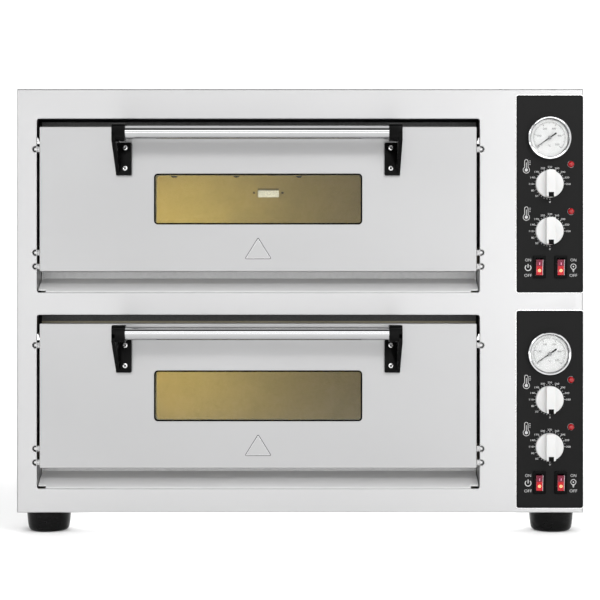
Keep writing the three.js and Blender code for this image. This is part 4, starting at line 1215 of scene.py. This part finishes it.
def rocker(deck, use):
    """Dished rocker with its two lit marks, its upper half in painted shade, and thin side strips with a
    painted highlight on the right and painted shade on the left; it keeps the CAD rocker's outline and tilt.
    """
    node = f"{deck}_{use}_rocker"
    housing = centre_of(f"{deck}_{use}_switch_housing")
    pivot = Vector((housing.x, front_y, housing.z))
    tilt = Matrix.Translation(pivot) @ Matrix.Rotation(math.radians(ROCKER_TILT), 4, "X")

    def tilted(name, bm, material, replaces=()):
        bmesh.ops.transform(bm, matrix=tilt, verts=bm.verts)
        return piece(f"{deck}_{use}_{name}", bm, material, node, replaces)

    section = in_mm((-6.5, -13), (4, -11.5), (4, 11.5), (-6.5, 13))
    for step in range(1, 12):
        share = 1 - step / 6
        section += in_mm((-5.1 - 1.4 * share**2, 13 * share))
    bm = bmesh.new()
    add_prism(bm, section, -ROCKER_HALF, ROCKER_HALF, "X")
    round_edges(bm, 0.35 * MM, 2, 50.0)
    lens = tilted("rocker_lens", bm, ROCKER_RED, [node])
    # The faces above the pivot take the darker red: painted shade on the rocker's upper half.
    lens.data.materials.append(ROCKER_PAINTED_SHADE)
    for face in lens.data.polygons:
        if face.center.z > housing.z + MM:
            face.material_index = 1
    off_mark = Print(ROCKER_MARKS)
    off_mark.ring(0, -5.4 * MM, 2.1 * MM, 0.9 * MM, 24)
    off_mark.shape(circle(0, -5.4 * MM, 0.9 * MM, 16))
    tilted("off_mark", off_mark.bm, GLOW_ORANGE)
    on_mark = Print(ROCKER_MARKS)
    on_mark.stroke([(0, 4.2 * MM), (0, 8.2 * MM)], 1.1 * MM)
    tilted("on_mark", on_mark.bm, GLOW_PINK)
    # Thin strips at the rocker's sides: a painted highlight on the right, painted shade on the left.
    for side, way in SIDES.items():
        painted_light_strip = bmesh.new()
        places = sorted((way * (ROCKER_HALF + 0.02 * MM), way * (ROCKER_HALF + ROCKER_LIGHT_STRIP)))
        add_prism(painted_light_strip, section, *places, "X")
        tilted(f"{side}_cheek", painted_light_strip, ROCKER_LIGHT_STRIPS[side])


# ---------------- panel print


def thermometer_icon(marks, x, z):
    """Outline of a thermometer; (x, z) is the middle of its bulb."""
    tube, bulb, top, line = 2.9 * MM, 5.3 * MM, 17.3 * MM, 0.8 * MM
    join = math.asin(tube / bulb)
    marks.stroke(arc_points(x, z, bulb, math.degrees(join), 360 - math.degrees(join), 28), line)
    rise = bulb * math.cos(join) - 0.4 * MM
    arch = arc_points(x, z + top - tube, tube, -90, 90, 12)
    marks.stroke([(x - tube, z + rise), *arch, (x + tube, z + rise)], line)
    marks.shape(circle(x, z, 2.6 * MM, 24))
    marks.stroke([(x, z), (x, z + 12.5 * MM)], line)
    for step in range(3):
        height = z + (9.2 + 2.9 * step) * MM
        marks.stroke([(x + 5.1 * MM, height), (x + 7 * MM, height)], line)


def power_icon(marks, x, z):
    marks.stroke(arc_points(x, z, 4.9 * MM, 40, 320, 28), 1.3 * MM)
    marks.stroke([(x, z - 0.2 * MM), (x, z + 6.2 * MM)], 1.3 * MM)


def bulb_icon(marks, x, z):
    marks.ring(x, z + 1.8 * MM, 4.4 * MM, 0.9 * MM)
    marks.shape(circle(x, z + 1.8 * MM, 1.2 * MM, 16))
    for step in range(3):
        half = (1.8 - 0.45 * step) * MM
        height = z - (3.6 + 1.5 * step) * MM
        marks.stroke([(x - half, height), (x + half, height)], 0.9 * MM)


def scale_dot(marks, x, z, degrees, radius):
    marks.shape(circle(*polar(x, z, 25.2 * MM, degrees), radius, 12))


def knob_scale(marks, x, z):
    """Numbers and ticks around a knob, with a dot half-way to each next number and three after the zero."""
    half_way = 15 * KNOB_DEGREES_PER_UNIT
    marks.tick(x, z, 24.4 * MM, 26.4 * MM, 180, 0.8 * MM)
    marks.text("0", x, z - 30 * MM, DIGIT_WIDTH, LABEL_HEIGHT)
    for value in KNOB_LABELS:
        degrees = (value - KNOB_TOP_LABEL) * KNOB_DEGREES_PER_UNIT
        turn = math.radians(degrees)
        marks.tick(x, z, 24.2 * MM, 26.2 * MM, degrees, 0.8 * MM)
        label_x = x + 31 * MM * math.sin(turn)
        label_z = z + 28.6 * MM * math.cos(turn)
        marks.text(str(value), label_x, label_z, DIGIT_WIDTH * len(str(value)), LABEL_HEIGHT)
        if value < KNOB_LABELS[-1]:
            scale_dot(marks, x, z, degrees + half_way, 0.5 * MM)
    for step in (1, 2, 3):
        scale_dot(marks, x, z, 180 + half_way * step, 0.6 * MM)


def panel_print(deck):
    marks = Print(plate_front(deck))
    for which in KNOBS:
        centre = centre_of(f"{deck}_{which}_knob")
        knob_scale(marks, centre.x + PRINT_SHIFT, centre.z)
        thermometer_icon(marks, centre.x + PRINT_SHIFT - 39.4 * MM, centre.z + 23.5 * MM)
    for use, way, icon in (("power", -1, power_icon), ("light", 1, bulb_icon)):
        centre = centre_of(f"{deck}_{use}_switch_housing")
        column = centre.x + way * 20 * MM + PRINT_SHIFT
        marks.text("ON", column, centre.z + 11.6 * MM, 9.6 * MM, 4.7 * MM, LETTER_WEIGHT)
        icon(marks, column, centre.z - 1.2 * MM)
        marks.text("OFF", column, centre.z - 14.2 * MM, 12.6 * MM, 4.7 * MM, LETTER_WEIGHT)
    piece(f"{deck}_panel_print", marks.bm, WHITE_PRINT, "casing")


def panel_trim(deck):
    """Chamfer of the fascia round the control plate, narrower at the casing's edge, in very pale steel: a
    painted highlight.
    """
    low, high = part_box(f"{deck}_control_panel")
    outer = front_outline(low, high - Vector((0.6 * MM, 0, 0)), 3 * MM, 4 * MM)
    inner = front_outline(low, high, 0.4 * MM, 3.2 * MM)
    bm = bmesh.new()
    add_frame(bm, outer, inner, front_y - 1.1 * MM, front_y - 0.05 * MM)
    round_edges(bm, 0.35 * MM, 2)
    piece(f"{deck}_panel_trim", bm, PAINTED_HIGHLIGHT_STEEL, "casing")


def panel_border(deck):
    """Slightly darker rim of the control plate."""
    low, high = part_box(f"{deck}_control_panel")
    outlines = (front_outline(low, high, -0.6 * MM, 3 * MM), front_outline(low, high, -5 * MM, 2 * MM))
    depths = (low.y - PRINT_THICKNESS, low.y + 0.1 * MM)
    ring_piece(f"{deck}_panel_border", *outlines, *depths, PANEL_BORDER, "casing", "black_panel")


# ---------------- casing details


def foot(end, side):
    """Glossy rubber foot, tapering a little to a rounded lower edge."""
    node = f"{end}_{side}_foot"
    low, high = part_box(node)
    centre = Vector(((low.x + high.x) / 2, (low.y + high.y) / 2, 0))
    radius = (high.x - low.x) / 2
    top = high.z
    curve = in_mm((-11, 0), (-7, 0.8), (-4.5, 2.6), (-3, 5.5), (-1.7, 12), (-0.8, 20), (-0.2, 28))
    profile = [(0, 0), *shifted(curve, radius, 0), (radius, top - MM), (radius - 0.6 * MM, top), (0, top)]
    bm = lathe(profile, (0, 0, 1), centre, 64)
    piece(f"{end}_{side}_rubber", bm, FOOT_RUBBER, "casing", [node])


def cable_gland():
    """Hexagon nut and tapered cap of the cable's entry."""
    low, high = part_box("cable_gland")
    x, z = front_middle(low, high)
    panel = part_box("rear_panel")[1].y
    tip = high.y - panel
    bm = bmesh.new()
    hexagon = [polar(x, z, 13.8 * MM, 60 * step) for step in range(6)]
    add_prism(bm, hexagon, panel + 0.3 * MM, panel + 5.5 * MM)
    round_edges(bm, 0.6 * MM, 2)
    profile = in_mm((0, -14), (9.8, -14), (9.8, 5), (11, 5), (11, 8.5))
    profile += shifted(in_mm((9, -0.6), (7.5, 0), (4.2, 0)), 0, tip)
    profile += in_mm((4.2, 3), (0, 3))
    add_lathe(bm, profile, (0, 1, 0), Vector((x, panel, z)), 40)
    piece("gland_body", bm, BLACK_PLASTIC, "casing", ["cable_gland"])


def louvre_heights(firsts):
    """The heights of groups of louvres, from the lowest of each group."""
    return [first + index * LOUVRE_PITCH for first in firsts for index in range(LOUVRES_IN_GROUP)]


def louvre_blades():
    """A slanted blade inside each cooling slot of the right side, and a hood over each at the rear."""
    blades = bmesh.new()
    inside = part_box("right_side_panel")[1].x - 1.6 * MM
    section = in_mm((0, 7.5), (-9, -2), (-9, -3), (0, 6.5))
    for height in louvre_heights(SIDE_LOUVRES):
        for depth in SIDE_LOUVRE_DEPTHS:
            y = front_y + depth
            add_prism(blades, shifted(section, inside, height), y - SIDE_LOUVRE_HALF, y + SIDE_LOUVRE_HALF)
    piece("side_louvre_blades", blades, SIDE_STEEL, "casing")
    hoods = bmesh.new()
    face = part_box("rear_panel")[1].y + 0.1 * MM
    section = in_mm((0, 8), (2.4, 6.6), (4, 3), (4.2, -0.5), (3.2, -0.5), (3, 2.6), (1.8, 5.4), (0, 6.6))
    places = (REAR_LOUVRE_X - REAR_LOUVRE_HALF, REAR_LOUVRE_X + REAR_LOUVRE_HALF)
    for height in louvre_heights(REAR_LOUVRES):
        add_prism(hoods, shifted(section, face, height), *places, "X")
    piece("rear_louvre_hoods", hoods, SIDE_STEEL, "casing")


def rear_details():
    """Screws round the rear panel, the earth screw by the gland and the vent outlets' collars."""
    low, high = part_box("rear_panel")
    margin = 14 * MM
    columns = [low.x + margin + share * (high.x - low.x - 2 * margin) for share in (0, 0.25, 0.5, 0.75, 1)]
    rows = [low.z + margin + share * (high.z - low.z - 2 * margin) for share in (0, 0.5, 1)]
    places = [(x, z) for x in columns for z in rows if z != rows[1] or x in (columns[0], columns[-1])]
    centres = [Vector((x, high.y, z)) for x, z in places]
    screws("rear_panel_screws", centres, (0, 1, 0), 4 * MM, 2 * MM, "casing")
    gland = centre_of("cable_gland")
    earth = [Vector((gland.x - 34 * MM, high.y, gland.z))]
    screws("earth_screw", earth, (0, 1, 0), 4.5 * MM, 4 * MM, "casing", CHROME)
    collars = bmesh.new()
    for deck in DECKS:
        outer = rounded_rectangle(*vent_middle(deck), *VENT_COLLAR, 3 * MM)
        inner = rounded_rectangle(*vent_middle(deck), *VENT_OUTLET, 0.5 * MM)
        add_frame(collars, outer, inner, high.y + 0.1 * MM, high.y + 1.3 * MM)
    piece("vent_outlet_collars", collars, SIDE_STEEL, "casing")


def vent_screen(deck):
    """Woven wire over the vent's outlet at the back."""
    x, z = vent_middle(deck)
    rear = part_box("rear_panel")[1].y
    half_width, half_height = SCREEN_HALF
    bm = bmesh.new()
    for step in range(-10, 11):
        left = x + step * SCREEN_PITCH - SCREEN_WIRE
        right = x + step * SCREEN_PITCH + SCREEN_WIRE
        add_box(bm, (left, rear + 0.2 * MM, z - half_height), (right, rear + 0.6 * MM, z + half_height))
    for step in range(-4, 5):
        bottom = z + step * SCREEN_PITCH - SCREEN_WIRE
        top = z + step * SCREEN_PITCH + SCREEN_WIRE
        add_box(bm, (x - half_width, rear + 0.7 * MM, bottom), (x + half_width, rear + 1.1 * MM, top))
    piece(f"{deck}_vent_screen", bm, SCREW_STEEL, "casing")


# ---------------- assembly

fascia()
dress_casing()
for end in ("front", "rear"):
    for side in SIDES:
        foot(end, side)
cable_gland()
louvre_blades()
rear_details()
for deck in DECKS:
    dress_deck(deck)
    handle_bar(deck)
    for side in SIDES:
        handle_bracket(deck, side)
    door_skin(deck)
    stamped_triangle(deck)
    window_reveal(deck)
    door_inner_screws(deck)
    jamb_fittings(deck)
    jamb_lining(deck)
    chamber_seal(deck)
    crumb_guard(deck)
    element_hangers(deck)
    vent_frame(deck)
    vent_screen(deck)
    lamp_ring(deck)
    gauge(deck)
    for which in KNOBS:
        knob(deck, which)
        pilot_light(deck, which)
    for use in SWITCHES:
        switch(deck, use)
        rocker(deck, use)
    panel_trim(deck)
    panel_border(deck)
    panel_print(deck)

# ---------------- stage, light and camera


def stage_sheet(name, bm, material):
    """A sheet of the studio, which isn't part of the oven."""
    mesh = new_mesh(name, bm)
    mesh.materials.append(material)
    sheet = new_object(name, mesh)
    return sheet


def make_floor():
    tones = (grey(0.94), grey(0.95))
    pale = patterned("floor", grey(1.2), tones, detail=2.0, roughness=0.7, Specular_IOR_Level=0.2)
    bm = bmesh.new()
    bmesh.ops.create_grid(bm, x_segments=1, y_segments=1, size=60.0)
    stage_sheet("floor", bm, pale)


def make_world():
    """White studio walls, less bright on the left, so that faces turned that way read as darker."""
    world = bpy.data.worlds.new("studio")
    bpy.context.scene.world = world
    world.use_nodes = True
    nodes, links = world.node_tree.nodes, world.node_tree.links
    place = nodes.new("ShaderNodeTexCoord")
    split = nodes.new("ShaderNodeSeparateXYZ")
    fade = nodes.new("ShaderNodeMapRange")
    fade.inputs["From Min"].default_value = -1.0
    fade.inputs["From Max"].default_value = -0.3
    fade.inputs["To Min"].default_value = 0.8
    fade.inputs["To Max"].default_value = 1.2
    links.new(place.outputs["Generated"], split.inputs["Vector"])
    links.new(split.outputs["X"], fade.inputs["Value"])
    links.new(fade.outputs["Result"], nodes["Background"].inputs["Strength"])
    nodes["Background"].inputs["Color"].default_value = (1.0, 1.0, 1.0, 1.0)


def area_light(name, place, target, size, power, diffuse=True, glossy=True):
    light = bpy.data.lights.new(name, "AREA")
    light.shape = "RECTANGLE"
    light.size, light.size_y = size
    light.energy = power
    obj = new_object(name, light)
    obj.location = place
    obj.rotation_euler = (Vector(target) - Vector(place)).to_track_quat("-Z", "Y").to_euler()
    obj.visible_diffuse = diffuse
    obj.visible_glossy = glossy
    obj.visible_camera = False
    return obj


def flag(name, low, high):
    """A dark card outside the picture that only polished metal reflects."""
    tones = (grey(0.1), grey(0.13))
    dark = patterned(name, 3, tones, detail=1.0, roughness=0.9, Specular_IOR_Level=0.0)
    bm = bmesh.new()
    corners = [(low.x, *low.yz), (high.x, *low.yz), (high.x, *high.yz), (low.x, *high.yz)]
    bm.faces.new([bm.verts.new(corner) for corner in corners])
    card = stage_sheet(name, bm, dark)
    card.visible_camera = False
    card.visible_diffuse = False
    card.visible_transmission = False
    card.visible_shadow = False


def chamber_light(deck):
    """The warm lamp in the chamber's left wall, thrown over the back wall."""
    low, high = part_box(f"{deck}_chamber_lamp")
    light = bpy.data.lights.new(f"{deck}_lamp_light", "POINT")
    light.energy = LAMP_POWER[deck]
    light.color = LAMP_COLOUR
    light.shadow_soft_size = 0.03
    obj = new_object(light.name, light)
    obj.location = Vector((low.x, low.y, (low.z + high.z) / 2)) + LAMP_GLOW
    obj.visible_camera = False
    obj.visible_transmission = False
    obj.visible_glossy = False


def spare_outer_panels(lights):
    """Keeps the lights meant for the front off the roof and sides, which would glare from behind."""
    spared = bpy.data.collections.new("outer_panels")
    for node in ("top_cover", "left_side_panel", "right_side_panel"):
        spared.objects.link(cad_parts[node])
    for light in lights:
        light.light_linking.receiver_collection = spared
    for entry in spared.collection_objects:
        entry.light_linking.link_state = "EXCLUDE"


def make_lights():
    area_light("overhead_softbox", (0.3, -0.6, 3.0), (0, 0, 0.3), (4.0, 4.0), 45, glossy=False)
    front_lights = (
        area_light("key_softbox", (1.6, -3.0, 2.0), (0.2, -0.3, 0.4), (1.0, 1.2), 22),
        area_light("metal_softbox", (0, -3.0, 1.72), (0, -0.3, 0.4), (3.6, 0.5), 21, diffuse=False),
        area_light("low_metal_softbox", (0, -3.0, 0.3), (0, -0.3, 0.2), (3.6, 0.3), 10, diffuse=False),
        area_light("edge_strip", (-2.0, -2.2, 0.8), (0, 0, 0.3), (0.25, 1.4), 7, diffuse=False),
    )
    spare_outer_panels(front_lights)
    area_light("floor_fill", (0, 0.02, 0.033), (0, 0.02, 0), (0.84, 0.7), 2.2, glossy=False)
    flag("ceiling_flag", Vector((-2.0, -2.6, 2.3)), Vector((2.0, -1.2, 3.4)))
    for deck in DECKS:
        chamber_light(deck)


def make_camera():
    data = bpy.data.cameras.new("camera")
    data.lens = CAMERA_LENS
    data.sensor_width = SENSOR_WIDTH
    camera = new_object("camera", data)
    camera.location = (0, front_y - CAMERA_DISTANCE, CAMERA_HEIGHT)
    camera.rotation_euler = (math.radians(90), 0, 0)
    bpy.context.scene.camera = camera


make_floor()
make_world()
make_lights()
make_camera()
bpy.context.scene.view_settings.view_transform = "Standard"
